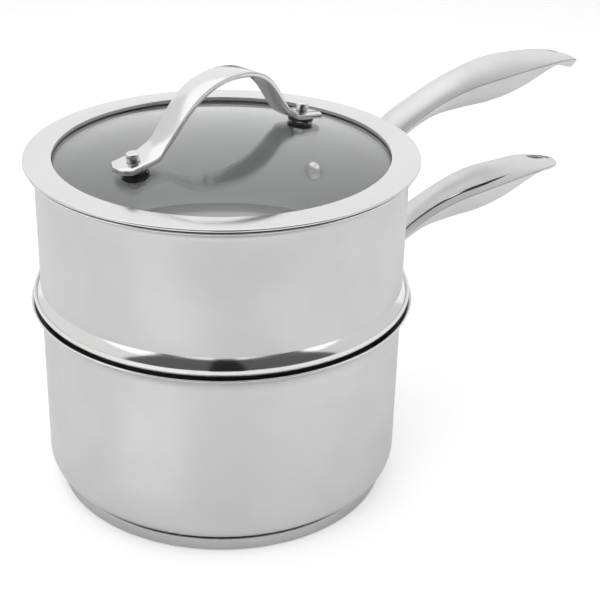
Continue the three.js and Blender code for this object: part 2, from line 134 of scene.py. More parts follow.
def arc(centre: Point, radius: float, start: float, end: float, steps: int) -> list[Point]:
    """Points on a circle.

    Args:
        centre: Middle of the circle, across and up.
        radius: Radius of the circle.
        start: First angle in degrees.
        end: Last angle in degrees.
        steps: Number of steps between them.

    Returns:
        The points, both ends included.
    """
    turns = [math.radians(mix(start, end, i / steps)) for i in range(steps + 1)]
    return [(centre[0] + radius * math.cos(t), centre[1] + radius * math.sin(t)) for t in turns]


def bezier(ends: tuple[Point, Point], pulls: tuple[Point, Point], steps: int) -> list[Point]:
    """Points on a cubic curve.

    Args:
        ends: First and last point.
        pulls: The two points that pull the curve.
        steps: Number of steps.

    Returns:
        The points, both ends included.
    """
    points = []
    for i in range(steps + 1):
        t = i / steps
        weights = ((1 - t) ** 3, 3 * t * (1 - t) ** 2, 3 * t * t * (1 - t), t**3)
        corners = (ends[0], pulls[0], pulls[1], ends[1])
        across = sum(w * c[0] for w, c in zip(weights, corners))
        up = sum(w * c[1] for w, c in zip(weights, corners))
        points.append((across, up))
    return points


def through(values: Sequence[float], share: float) -> float:
    """Reads a smooth curve through evenly spaced values.

    Args:
        values: The values.
        share: From 0 at the first value to 1 at the last.

    Returns:
        The curve's value there.
    """
    place = share * (len(values) - 1)
    i = min(int(place), len(values) - 2)
    t = place - i
    here, there = values[i], values[i + 1]
    before = values[i - 1] if i > 0 else 2 * here - there
    after = values[i + 2] if i + 2 < len(values) else 2 * there - here
    slope, next_slope = (there - before) / 2, (after - here) / 2
    bow = 3 * (there - here) - 2 * slope - next_slope
    twist = 2 * (here - there) + slope + next_slope
    return here + slope * t + bow * t * t + twist * t**3


def offset(path: Sequence[Point], distance: float) -> list[Point]:
    """Moves an open path to its left.

    Args:
        path: The points of the path.
        distance: How far it moves.

    Returns:
        The moved points.
    """
    sides = []
    for here, there in zip(path, path[1:]):
        run = math.dist(here, there)
        sides.append(((here[1] - there[1]) / run, (there[0] - here[0]) / run))
    moved = []
    for i, corner in enumerate(path):
        before = sides[max(i - 1, 0)]
        after = sides[min(i, len(sides) - 1)]
        even = distance / (1 + before[0] * after[0] + before[1] * after[1])
        moved.append(tuple(c + (b + a) * even for c, b, a in zip(corner, before, after)))
    return moved


def sheet(skin: Sequence[Point], thickness: float) -> list[Point]:
    """Gives a skin its thickness and a rounded rim.

    Args:
        skin: The outer skin, from the axis to the rim.
        thickness: Thickness of the metal.

    Returns:
        The outline from the axis along the skin, round the rim and back to the axis.
    """
    inner = offset(skin, thickness)
    end, back = Vector(skin[-1]), Vector(inner[-1])
    middle = (end + back) / 2
    out = end - middle
    ahead = Vector((-out.y, out.x))
    rim = []
    for i in range(1, RIM_STEPS):
        turn = math.pi * i / RIM_STEPS
        corner = middle + out * math.cos(turn) + ahead * math.sin(turn)
        rim.append((corner.x, corner.y))
    return [*skin, *rim, *reversed(inner)]


def stadium(length: float, width: float, steps: int = 12) -> list[Point]:
    """Returns the outline of a bar with round ends."""
    half = (length - width) / 2
    right = arc((half, 0), width / 2, -90, 90, steps)
    left = arc((-half, 0), width / 2, 90, 270, steps)
    return [*right, *left]


class Bench:
    """The hand tools that shape one piece in edit mode."""

    def __init__(self, name: str) -> None:
        """Starts an empty piece and opens it.

        Args:
            name: Name of the piece.
        """
        self.clear()
        bpy.ops.mesh.primitive_plane_add(size=MM)
        self.piece = bpy.context.object
        self.piece.name = name
        self.piece.data.name = name
        bpy.ops.object.mode_set(mode="EDIT")
        bpy.ops.mesh.select_mode(type="VERT")
        bpy.ops.mesh.delete(type="VERT")

    @staticmethod
    def clear() -> None:
        """Leaves edit mode and deselects everything."""
        if bpy.context.mode != "OBJECT":
            bpy.ops.object.mode_set(mode="OBJECT")
        bpy.ops.object.select_all(action="DESELECT")

    @classmethod
    def take(cls, piece: bpy.types.Object) -> None:
        """Selects one piece and nothing else."""
        cls.clear()
        piece.select_set(True)
        bpy.context.view_layer.objects.active = piece

    def pick(self, wanted: Callable[[bmesh.types.BMVert], bool]) -> None:
        """Selects the vertices that pass a test.

        Args:
            wanted: The test.
        """
        shape = bmesh.from_edit_mesh(self.piece.data)
        for vert in shape.verts:
            vert.select = wanted(vert)
        shape.select_flush_mode()
        bmesh.update_edit_mesh(self.piece.data)

    def pick_range(self, first: int, last: int) -> None:
        """Selects vertices by their number, the last one left out."""
        bmesh.from_edit_mesh(self.piece.data).verts.index_update()
        self.pick(lambda vert: first <= vert.index < last)

    def trace(self, places: Sequence[Vector], closed: bool) -> None:
        """Draws a wire by extruding one vertex from place to place.

        Args:
            places: The places in metres.
            closed: True where the last place is joined to the first.
        """
        bpy.ops.mesh.select_all(action="DESELECT")
        bpy.ops.mesh.primitive_plane_add(size=MM, location=places[0])
        bpy.ops.mesh.merge(type="CENTER")
        for here, there in zip(places, places[1:]):
            bpy.ops.mesh.extrude_region_move(TRANSFORM_OT_translate={"value": there - here})
        if closed:
            ends = (places[0], places[-1])
            self.pick(lambda vert: any((vert.co - end).length < NEAR for end in ends))
            bpy.ops.mesh.edge_face_add()

    def tidy(self) -> None:
        """Merges doubles and turns the faces outward."""
        bpy.ops.mesh.select_all(action="SELECT")
        bpy.ops.mesh.remove_doubles(threshold=WELD)
        bpy.ops.mesh.normals_make_consistent(inside=False)

    def spin(self, steps: int, centre: Vector, axis: Vector) -> None:
        """Turns the wire once round an axis.

        Args:
            steps: Number of steps in the turn.
            centre: A place on the axis.
            axis: Direction of the axis.
        """
        bpy.ops.mesh.select_all(action="SELECT")
        bpy.ops.mesh.spin(steps=steps, angle=2 * math.pi, center=centre, axis=axis)
        self.tidy()

    def loft(self, loops: Sequence[Sequence[Vector]]) -> None:
        """Skins a row of closed loops and fills both ends.

        Args:
            loops: Loops of equal length.
        """
        count = len(loops[0])
        for loop in loops:
            self.trace(loop, closed=True)
        for row in range(len(loops) - 1):
            self.pick_range(row * count, (row + 2) * count)
            bpy.ops.mesh.bridge_edge_loops()
        for row in (0, len(loops) - 1):
            self.pick_range(row * count, (row + 1) * count)
            bpy.ops.mesh.fill()
        self.tidy()

    def prism(self, outline: Sequence[Vector], depth: Vector) -> None:
        """Fills a closed outline and pulls it out.

        Args:
            outline: Places round the outline.
            depth: How far and which way it is pulled.
        """
        self.trace(outline, closed=True)
        bpy.ops.mesh.select_all(action="SELECT")
        bpy.ops.mesh.edge_face_add()
        bpy.ops.mesh.extrude_region_move(TRANSFORM_OT_translate={"value": depth})
        self.tidy()

    def close(self) -> bpy.types.Object:
        """Leaves edit mode and returns the piece."""
        bpy.ops.object.mode_set(mode="OBJECT")
        return self.piece


def turned(name: str, outline: Sequence[Point], closed: bool, steps: int = ROUND_STEPS) -> bpy.types.Object:
    """Turns an outline round the object's upright axis.

    Args:
        name: Name of the piece.
        outline: The outline in millimetres, across and up.
        closed: True for a ring, whose outline never meets the axis.
        steps: Number of steps in the turn.

    Returns:
        The piece.
    """
    bench = Bench(name)
    bench.trace([Vector((across, 0, up)) * MM for across, up in outline], closed)
    bench.spin(steps, Vector((0, 0, 0)), Vector((0, 0, 1)))
    return bench.close()


def carve(piece: bpy.types.Object, cutter: bpy.types.Object, cut: Cut = Cut.AWAY) -> None:
    """Cuts a piece with another piece, which is used up.

    Args:
        piece: The piece that is cut.
        cutter: The piece that cuts.
        cut: What the cutter does.
    """
    Bench.take(piece)
    tool = piece.modifiers.new("carve", "BOOLEAN")
    tool.operation = cut.value
    tool.solver = "EXACT"
    tool.object = cutter
    bpy.ops.object.modifier_apply(modifier=tool.name)
    bpy.data.objects.remove(cutter)


def soften(piece: bpy.types.Object, width: float, angle: float = 40, steps: int = 2) -> None:
    """Rounds the sharp edges of a piece.

    Args:
        piece: The piece.
        width: Width of the round in millimetres.
        angle: Edges that turn by more than this many degrees are rounded.
        steps: Facets across the round.
    """
    Bench.take(piece)
    tool = piece.modifiers.new("soften", "BEVEL")
    tool.width = width * MM
    tool.segments = steps
    tool.limit_method = "ANGLE"
    tool.angle_limit = math.radians(angle)
    bpy.ops.object.modifier_apply(modifier=tool.name)


def smooth(piece: bpy.types.Object, angle: float = 32) -> None:
    """Shades a piece smooth, but for edges that turn by more than an angle in degrees."""
    Bench.take(piece)
    bpy.ops.object.shade_smooth_by_angle(angle=math.radians(angle))


def reshape(piece: bpy.types.Object, move: Callable[[], object]) -> None:
    """Moves the whole of a piece's mesh.

    Args:
        piece: The piece.
        move: The move, which works on what is selected in edit mode.
    """
    Bench.take(piece)
    bpy.ops.object.mode_set(mode="EDIT")
    bpy.ops.mesh.select_all(action="SELECT")
    move()
    bpy.ops.object.mode_set(mode="OBJECT")


def shift(piece: bpy.types.Object, step: Vector) -> None:
    """Moves a piece's mesh by a step in millimetres."""
    reshape(piece, lambda: bpy.ops.transform.translate(value=step * MM))


def hide_from(thing: bpy.types.Object, *rays: str) -> None:
    """Hides an object from some kinds of rays."""
    for ray in rays:
        setattr(thing, f"visible_{ray}", False)


class Shader:
    """A small helper that lays out one node tree."""

    def __init__(self, tree: bpy.types.NodeTree) -> None:
        """Keeps the tree that is laid out."""
        self.tree = tree

    def add(self, kind: str, **settings: object) -> bpy.types.Node:
        """Adds a node.

        Args:
            kind: Name of the node's type.
            **settings: Values of the node's own settings.

        Returns:
            The node.
        """
        node = self.tree.nodes.new(kind)
        for key, value in settings.items():
            setattr(node, key, value)
        return node

    def join(self, start: bpy.types.NodeSocket, end: bpy.types.NodeSocket) -> None:
        """Links an output to an input."""
        self.tree.links.new(start, end)

    def sums(self, operation: str, first: bpy.types.NodeSocket, second: object) -> bpy.types.NodeSocket:
        """Adds a Math node.

        Args:
            operation: Name of the sum.
            first: The first value.
            second: The second value, a socket or a number.

        Returns:
            The node's result.
        """
        node = self.add("ShaderNodeMath", operation=operation)
        self.join(first, node.inputs[0])
        if isinstance(second, bpy.types.NodeSocket):
            self.join(second, node.inputs[1])
        else:
            node.inputs[1].default_value = second
        return node.outputs[0]

    def group(self, tree: bpy.types.NodeTree, **values: object) -> bpy.types.Node:
        """Places a node group.

        Args:
            tree: The group.
            **values: Values of its inputs.

        Returns:
            The group's node.
        """
        node = self.add("ShaderNodeGroup")
        node.node_tree = tree
        for key, value in values.items():
            node.inputs[key].default_value = value
        return node


    def blend(self, share: bpy.types.NodeSocket, colours: tuple[Colour, Colour]) -> bpy.types.NodeSocket:
        """Mixes two colours.

        Args:
            share: The share of the second colour.
            colours: The two colours.

        Returns:
            The mixed colour.
        """
        node = self.add("ShaderNodeMix", data_type="RGBA")
        first, second, result = (s for s in (*node.inputs, *node.outputs) if s.type == "RGBA")
        first.default_value, second.default_value = colours
        self.join(share, node.inputs["Factor"])
        return result

    def spread(self, share: bpy.types.NodeSocket, ends: Point) -> bpy.types.NodeSocket:
        """Stretches a share over a range.

        Args:
            share: The share, from 0 to 1.
            ends: First and last value of the range.

        Returns:
            The value in the range.
        """
        node = self.add("ShaderNodeMapRange")
        node.inputs["To Min"].default_value, node.inputs["To Max"].default_value = ends
        self.join(share, node.inputs["Value"])
        return node.outputs["Result"]


class Paint(Shader):
    """The node tree of one material, laid out round its main shader."""

    def __init__(self, name: str) -> None:
        """Starts the material.

        Args:
            name: Name of the material.
        """
        self.material = bpy.data.materials.new(name)
        self.material.use_nodes = True
        super().__init__(self.material.node_tree)
        self.main = self.tree.nodes["Principled BSDF"]

    def put(self, values: dict[str, object]) -> None:
        """Sets inputs of the main shader by their names."""
        for name, value in values.items():
            self.main.inputs[name].default_value = value

    def emboss(self, pattern: bpy.types.NodeSocket, depth: float) -> None:
        """Lets a pattern raise the surface.

        Args:
            pattern: The pattern.
            depth: How far it rises, in millimetres.
        """
        bump = self.add("ShaderNodeBump")
        bump.inputs["Strength"].default_value = 1
        bump.inputs["Distance"].default_value = depth * MM
        self.join(pattern, bump.inputs["Height"])
        self.join(bump.outputs["Normal"], self.main.inputs["Normal"])


class Effects:
    """Shader groups that several finishes share."""

    GRAIN_DETAIL: ClassVar[float] = 2
    CLOUD_DETAIL: ClassVar[float] = 3

    @staticmethod
    def blank(
        name: str, numbers: Sequence[str], result: str
    ) -> tuple[Shader, bpy.types.Node, bpy.types.Node]:
        """Starts a group that reads a place and some numbers and gives one value.

        Args:
            name: Name of the group.
            numbers: Names of its number inputs.
            result: Name of its output.

        Returns:
            The group's layout, its input node and its output node.
        """
        tree = bpy.data.node_groups.new(name, "ShaderNodeTree")
        tree.interface.new_socket(name="Place", in_out="INPUT", socket_type="NodeSocketVector")
        for number in numbers:
            tree.interface.new_socket(name=number, in_out="INPUT", socket_type="NodeSocketFloat")
        tree.interface.new_socket(name=result, in_out="OUTPUT", socket_type="NodeSocketFloat")
        layout = Shader(tree)
        return layout, layout.add("NodeGroupInput"), layout.add("NodeGroupOutput")

    @classmethod
    def turned_grain(cls) -> bpy.types.NodeTree:
        """Builds fine scratches that run round the upright axis and returns the group."""
        layout, given, result = cls.blank(Grain.TURNED.value, ("Fineness", "Breaks"), "Grain")
        axes = layout.add("ShaderNodeSeparateXYZ")
        flat = layout.add("ShaderNodeVectorMath", operation="MULTIPLY")
        flat.inputs[1].default_value = (1, 1, 0)
        reach = layout.add("ShaderNodeVectorMath", operation="LENGTH")
        layout.join(given.outputs["Place"], axes.inputs[0])
        layout.join(given.outputs["Place"], flat.inputs[0])
        layout.join(flat.outputs["Vector"], reach.inputs[0])
        fine, breaks = given.outputs["Fineness"], given.outputs["Breaks"]
        lines = layout.sums("MULTIPLY", reach.outputs["Value"], fine)
        across = layout.sums("ADD", layout.sums("MULTIPLY", axes.outputs["X"], breaks), lines)
        along = layout.sums("MULTIPLY", axes.outputs["Y"], breaks)
        up = layout.sums("MULTIPLY", axes.outputs["Z"], fine)
        cls.scratch(layout, (across, along, up), result)
        return layout.tree

    @classmethod
    def drawn_grain(cls) -> bpy.types.NodeTree:
        """Builds fine scratches that run along X and returns the group."""
        layout, given, result = cls.blank(Grain.DRAWN.value, ("Fineness", "Breaks"), "Grain")
        axes = layout.add("ShaderNodeSeparateXYZ")
        layout.join(given.outputs["Place"], axes.inputs[0])
        fine, breaks = given.outputs["Fineness"], given.outputs["Breaks"]
        along = layout.sums("MULTIPLY", axes.outputs["X"], breaks)
        across = layout.sums("MULTIPLY", axes.outputs["Y"], fine)
        up = layout.sums("MULTIPLY", axes.outputs["Z"], fine)
        cls.scratch(layout, (along, across, up), result)
        return layout.tree

    @classmethod
    def scratch(
        cls, layout: Shader, axes: Sequence[bpy.types.NodeSocket], result: bpy.types.Node
    ) -> None:
        """Reads noise at a stretched place and gives it out.

        Args:
            layout: The group's layout.
            axes: The stretched place, as three values.
            result: The group's output node.
        """
        place = layout.add("ShaderNodeCombineXYZ")
        for axis, socket in zip(axes, place.inputs):
            layout.join(axis, socket)
        noise = layout.add("ShaderNodeTexNoise", noise_dimensions="3D")
        noise.inputs["Scale"].default_value = 1
        noise.inputs["Detail"].default_value = cls.GRAIN_DETAIL
        layout.join(place.outputs[0], noise.inputs["Vector"])
        layout.join(noise.outputs["Fac"], result.inputs[0])

    @classmethod
    def handling(cls) -> bpy.types.NodeTree:
        """Builds the soft clouding that wiping and handling leave and returns the group."""
        layout, given, result = cls.blank("handling_marks", ("Scale", "Low", "High"), "Marks")
        noise = layout.add("ShaderNodeTexNoise", noise_dimensions="3D")
        noise.inputs["Detail"].default_value = cls.CLOUD_DETAIL
        spread = layout.add("ShaderNodeMapRange", interpolation_type="SMOOTHSTEP")
        layout.join(given.outputs["Place"], noise.inputs["Vector"])
        layout.join(given.outputs["Scale"], noise.inputs["Scale"])
        layout.join(noise.outputs["Fac"], spread.inputs["Value"])
        layout.join(given.outputs["Low"], spread.inputs["From Min"])
        layout.join(given.outputs["High"], spread.inputs["From Max"])
        layout.join(spread.outputs["Result"], result.inputs[0])
        return layout.tree


class Workshop:
    """Builds each shared effect once and hands it to the finishes."""

    def __init__(self) -> None:
        """Builds the groups."""
        self.grain = {Grain.TURNED: Effects.turned_grain(), Grain.DRAWN: Effects.drawn_grain()}
        self.handling = Effects.handling()


@dataclass(frozen=True)
class Finish:
    """A finish for one slot, with its colour and roughness where it is clean and where it is marked.

    CLOUDS is how many clouds of handling marks there are in a metre, and MARKS are the noise levels
    between which they come in.
    """

    CLOUDS: ClassVar[float]
    MARKS: ClassVar[Point] = (0.35, 0.68)

    name: str
    slot: Slot
    clean: Colour
    marked: Colour
    gloss: Point

    def dress(self, shop: Workshop) -> bpy.types.Material:
        """Builds the material.

        Args:
            shop: The shared effects.

        Returns:
            The material.
        """
        paint = Paint(self.name)
        place = paint.add("ShaderNodeTexCoord").outputs["Object"]
        low, high = self.MARKS
        group = paint.group(shop.handling, Scale=self.CLOUDS, Low=low, High=high)
        paint.join(place, group.inputs["Place"])
        marks = group.outputs["Marks"]
        paint.join(paint.blend(marks, (self.clean, self.marked)), paint.main.inputs["Base Color"])
        paint.join(paint.spread(marks, self.gloss), paint.main.inputs["Roughness"])
        self.work(shop, paint, place)
        return paint.material

    def work(self, shop: Workshop, paint: Paint, place: bpy.types.NodeSocket) -> None:
        """Adds what a kind of finish has beside its colour and roughness.

        Args:
            shop: The shared effects.
            paint: The material.
            place: The place on the piece.
        """
        raise NotImplementedError


@dataclass(frozen=True)
class Rub:
    """Fine scratches in a metal: lines and breaks in a metre, and their depth in millimetres."""

    grain: Grain
    fineness: float
    breaks: float
    depth: float


@dataclass(frozen=True)
class MetalFinish(Finish):
    """A rubbed metal."""

    CLOUDS: ClassVar[float] = 22

    rub: Rub

    def work(self, shop: Workshop, paint: Paint, place: bpy.types.NodeSocket) -> None:
        """Makes it a metal and scratches it.

        Args:
            shop: The shared effects.
            paint: The material.
            place: The place on the piece.
        """
        paint.put({"Metallic": 1})
        rub = self.rub
        grain = paint.group(shop.grain[rub.grain], Fineness=rub.fineness, Breaks=rub.breaks)
        paint.join(place, grain.inputs["Place"])
        paint.emboss(grain.outputs["Grain"], rub.depth)


@dataclass(frozen=True)
class RubberFinish(Finish):
    """A dull dark rubber with a fine pebbled skin."""

    CLOUDS: ClassVar[float] = 60

    pebble_scale: float = 2400
    pebble_depth: float = 0.02

    def work(self, shop: Workshop, paint: Paint, place: bpy.types.NodeSocket) -> None:
        """Raises the pebbles.

        Args:
            shop: The shared effects.
            paint: The material.
            place: The place on the piece.
        """
        pebbles = paint.add("ShaderNodeTexNoise", noise_dimensions="3D")
        pebbles.inputs["Scale"].default_value = self.pebble_scale
        paint.join(place, pebbles.inputs["Vector"])
        paint.emboss(pebbles.outputs["Fac"], self.pebble_depth)


@dataclass(frozen=True)
class GlassFinish(Finish):
    """Clear toughened glass that lets light through to the inside."""

    CLOUDS: ClassVar[float] = 14

    bend: float
    shade: Colour

    def work(self, shop: Workshop, paint: Paint, place: bpy.types.NodeSocket) -> None:
        """Makes it clear, with a pale shadow.

        Args:
            shop: The shared effects.
            paint: The material.
            place: The place on the piece.
        """
        paint.put({"Transmission Weight": 1, "IOR": self.bend})
        path = paint.add("ShaderNodeLightPath")
        shadow = paint.add("ShaderNodeBsdfTransparent")
        shadow.inputs["Color"].default_value = self.shade
        either = paint.add("ShaderNodeMixShader")
        paint.join(path.outputs["Is Shadow Ray"], either.inputs[0])
        paint.join(paint.main.outputs[0], either.inputs[1])
        paint.join(shadow.outputs[0], either.inputs[2])
        paint.join(either.outputs[0], paint.tree.nodes["Material Output"].inputs["Surface"])


def grey(level: float, warmth: float = 0.0) -> Colour:
    """Returns a grey, a little warmer where warmth is above zero."""
    return (level * (1 + warmth), level, level * (1 - warmth), 1)


WALL_RUB = Rub(Grain.TURNED, 2600, 22, 0.004)
RING_RUB = Rub(Grain.TURNED, 2600, 20, 0.0015)
MIRROR_RUB = Rub(Grain.TURNED, 1800, 30, 0.0006)
STRAP_RUB = Rub(Grain.DRAWN, 2200, 40, 0.001)
HANDLE_RUB = Rub(Grain.DRAWN, 2400, 60, 0.003)
CORE_RUB = Rub(Grain.TURNED, 1500, 40, 0.004)

SATIN = MetalFinish(
    "satin_wall_steel", Slot.SATIN, grey(0.69, 0.004), grey(0.66, 0.004), (0.30, 0.36), WALL_RUB
)
# Painted light: the insert's inner skin is a lighter copy of the satin wall steel, standing in for light
# that reaches the inside through the glass.
INNER_PAINTED_LIGHT = MetalFinish("inner_wall_steel", Slot.SATIN, grey(0.88), grey(0.85), (0.32, 0.38), WALL_RUB)
# Painted shade: the insert's inner floor is a darker copy of the satin wall steel, standing in for the
# shade deep inside the closed pot.
INNER_FLOOR_PAINTED_SHADE = MetalFinish("inner_floor_steel", Slot.SATIN, grey(0.60), grey(0.56), (0.42, 0.5), WALL_RUB)
POLISHED = MetalFinish(
    "mirror_steel",
    Slot.POLISHED,
    clean=(0.841, 0.841, 0.833, 1),
    marked=(0.837, 0.837, 0.829, 1),
    gloss=(0.117, 0.123),
    rub=MIRROR_RUB,
)
RING = MetalFinish("lid_ring_steel", Slot.POLISHED, grey(0.76), grey(0.74), (0.16, 0.22), RING_RUB)
# Painted shade: the base cap is a darker copy of the ring's polished steel, standing in for the floor's
# contact shadow that it reflects.
CAP_PAINTED_SHADE = MetalFinish("base_cap_steel", Slot.POLISHED, grey(0.58), grey(0.56), (0.18, 0.24), RING_RUB)
STRAP = MetalFinish("strap_steel", Slot.POLISHED, grey(0.78), grey(0.75), (0.14, 0.20), STRAP_RUB)
HANDLE = MetalFinish("matt_handle_steel", Slot.HANDLE, grey(0.74), grey(0.70), (0.44, 0.52), HANDLE_RUB)
ALUMINIUM = MetalFinish("cast_aluminium", Slot.ALUMINIUM, grey(0.55), grey(0.5), (0.4, 0.5), CORE_RUB)
RUBBER = RubberFinish("dark_seal_rubber", Slot.RUBBER, grey(0.012), grey(0.02), (0.45, 0.6))
SPACER = RubberFinish("grey_spacer_rubber", Slot.RUBBER, grey(0.045), grey(0.06), (0.45, 0.6))
GLASS = GlassFinish(
    "clear_lid_glass",
    Slot.GLASS,
    clean=(0.96, 0.98, 0.975, 1),
    marked=(0.95, 0.97, 0.965, 1),
    gloss=(0.0, 0.02),
    bend=1.5,
    shade=(0.86, 0.88, 0.87, 1),
)


class Finisher:
    """Dresses finished pieces and sets them on their bodies."""

    def __init__(self) -> None:
        """Builds the shared effects and an empty shelf of materials."""
        self.shop = Workshop()
        self.shelf: dict[str, bpy.types.Material] = {}

    def material(self, finish: Finish) -> bpy.types.Material:
        """Returns a finish's material, which is built on its first use."""
        if finish.name not in self.shelf:
            self.shelf[finish.name] = finish.dress(self.shop)
        return self.shelf[finish.name]

    def paint(self, piece: bpy.types.Object, finish: Finish) -> None:
        """Gives the whole of a piece one finish."""
        piece.data.materials.clear()
        piece.data.materials.append(self.material(finish))

    def band(
        self, piece: bpy.types.Object, finish: Finish, wanted: Callable[[Vector, Vector], bool]
    ) -> None:
        """Gives part of a piece a second finish.

        Args:
            piece: The piece.
            finish: The second finish.
            wanted: Tells whether a face takes it, from its middle in millimetres and its normal.
        """
        Bench.take(piece)
        piece.data.materials.append(self.material(finish))
        piece.active_material_index = len(piece.data.materials) - 1
        bpy.ops.object.mode_set(mode="EDIT")
        bpy.ops.mesh.select_mode(type="FACE")
        shape = bmesh.from_edit_mesh(piece.data)
        for face in shape.faces:
            face.select = wanted(face.calc_center_median() / MM, face.normal)
        shape.select_flush_mode()
        bmesh.update_edit_mesh(piece.data)
        bpy.ops.object.material_slot_assign()
        bpy.ops.mesh.select_mode(type="VERT")
        bpy.ops.object.mode_set(mode="OBJECT")

    def place(
        self, piece: bpy.types.Object, node: str, body: Body, finish: Finish, angle: float = 32
    ) -> None:
        """Dresses a piece and lets it stand for a node of the frame.

        Args:
            piece: The piece.
            node: The node that it stands for.
            body: The body that it rides on.
            finish: Its finish.
            angle: Edges that turn by more than this many degrees stay sharp.
        """
        smooth(piece, angle)
        self.paint(piece, finish)
        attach(piece, body.value)
        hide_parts(node)
        LOG.info("%s stands for %s on %s", piece.name, node, body.value)


@dataclass(frozen=True)
class Lip:
    """A wall that turns outward into a pouring lip, whose polished edge is edge_walls walls high."""

    wall_radius: float
    wall: float
    reach: float
    rim_height: float
    angle: float
    edge_walls: float = 1.5

    @property
    def bend(self) -> float:
        """Radius of the outer skin's bend."""
        return self.reach / (1 - math.cos(math.radians(self.angle)))

    @property
    def start(self) -> float:
        """Height where the wall starts to turn."""
        return self.rim_height - (self.bend + self.wall) * math.sin(math.radians(self.angle))

    @property
    def centre(self) -> Point:
        """Middle of the bend."""
        return (self.wall_radius + self.bend, self.start)

    def edge(self, middle: Vector, normal: Vector) -> bool:
        """Tells from a face's middle, in millimetres, whether it is on the lip's rounded edge."""
        return middle.z > self.rim_height - self.edge_walls * self.wall

    def skin(self, steps: int = 14) -> list[Point]:
        """Returns the outer skin from the wall to where the rim's round starts."""
        rim_round = math.degrees(self.wall / 2 / self.bend)
        return arc(self.centre, self.bend, 180, 180 - self.angle + rim_round, steps)


@dataclass(frozen=True)
class Wall:
    """An upright round wall that carries a long handle."""

    name: str
    body: Body
    radius: float
    thickness: float
    rivet_height: float
    handle_length: float
    handle_tip_rise: float
    slot_side: Side
    belly_share: float


@dataclass(frozen=True)
class Saucepan:
    """The lower vessel with its capped base.

    floor_ring and wall_ring place an extra ring of points on the flat floor and on the straight wall.
    """

    radius: float = 100
    wall: float = 1
    rim_height: float = 111.4
    lip_reach: float = 5.8
    lip_angle: float = 60
    corner_radius: float = 11
    rivet_height: float = 76
    base_radius: float = 93.8
    base_height: float = 8.3
    base_sheet: float = 0.8
    base_round: float = 2.2
    seam: float = 0.3
    floor_ring: float = 40
    wall_ring: float = 60
    handle_length: float = 198.7
    handle_tip_rise: float = 36.1
    belly_share: float = 0.7

    @property
    def lip(self) -> Lip:
        """The pouring lip."""
        return Lip(self.radius, self.wall, self.lip_reach, self.rim_height, self.lip_angle)

    @property
    def handle_wall(self) -> Wall:
        """The wall that carries the handle."""
        sizes = (self.radius, self.wall, self.rivet_height, self.handle_length, self.handle_tip_rise)
        return Wall("saucepan", Body.SAUCEPAN, *sizes, Side.RIGHT, self.belly_share)

    def build(self, finisher: Finisher) -> None:
        """Builds the vessel and its base.

        Args:
            finisher: Dresses the pieces.
        """
        vessel = self.vessel()
        finisher.place(vessel, "saucepan_body", Body.SAUCEPAN, SATIN)
        finisher.band(vessel, POLISHED, self.lip.edge)
        # The base cap's darker steel is painted shade.
        finisher.place(self.base_cap(), "base_cap", Body.SAUCEPAN, CAP_PAINTED_SHADE)
        finisher.paint(frame["nodes"]["base_core"], ALUMINIUM)

    def vessel(self) -> bpy.types.Object:
        """Turns the vessel from its skin and returns it."""
        centre = (self.radius - self.corner_radius, self.base_height + self.corner_radius)
        corner = arc(centre, self.corner_radius, -90, 0, steps=14)
        floor = [(across, self.base_height) for across in (0, self.floor_ring)]
        skin = [*floor, *corner, (self.radius, self.wall_ring), *self.lip.skin()]
        return turned("saucepan_vessel", sheet(skin, self.wall), closed=False)

    def base_cap(self) -> bpy.types.Object:
        """Turns the cap that closes the base and returns it."""
        centre = (self.base_radius - self.base_round, self.base_round)
        edge = arc(centre, self.base_round, -90, 0, steps=6)
        rim_height = self.base_height - self.seam - self.base_sheet / 2
        skin = [(0, 0), (self.floor_ring, 0), *edge, (self.base_radius, rim_height)]
        return turned("saucepan_base_cap", sheet(skin, self.base_sheet), closed=False)


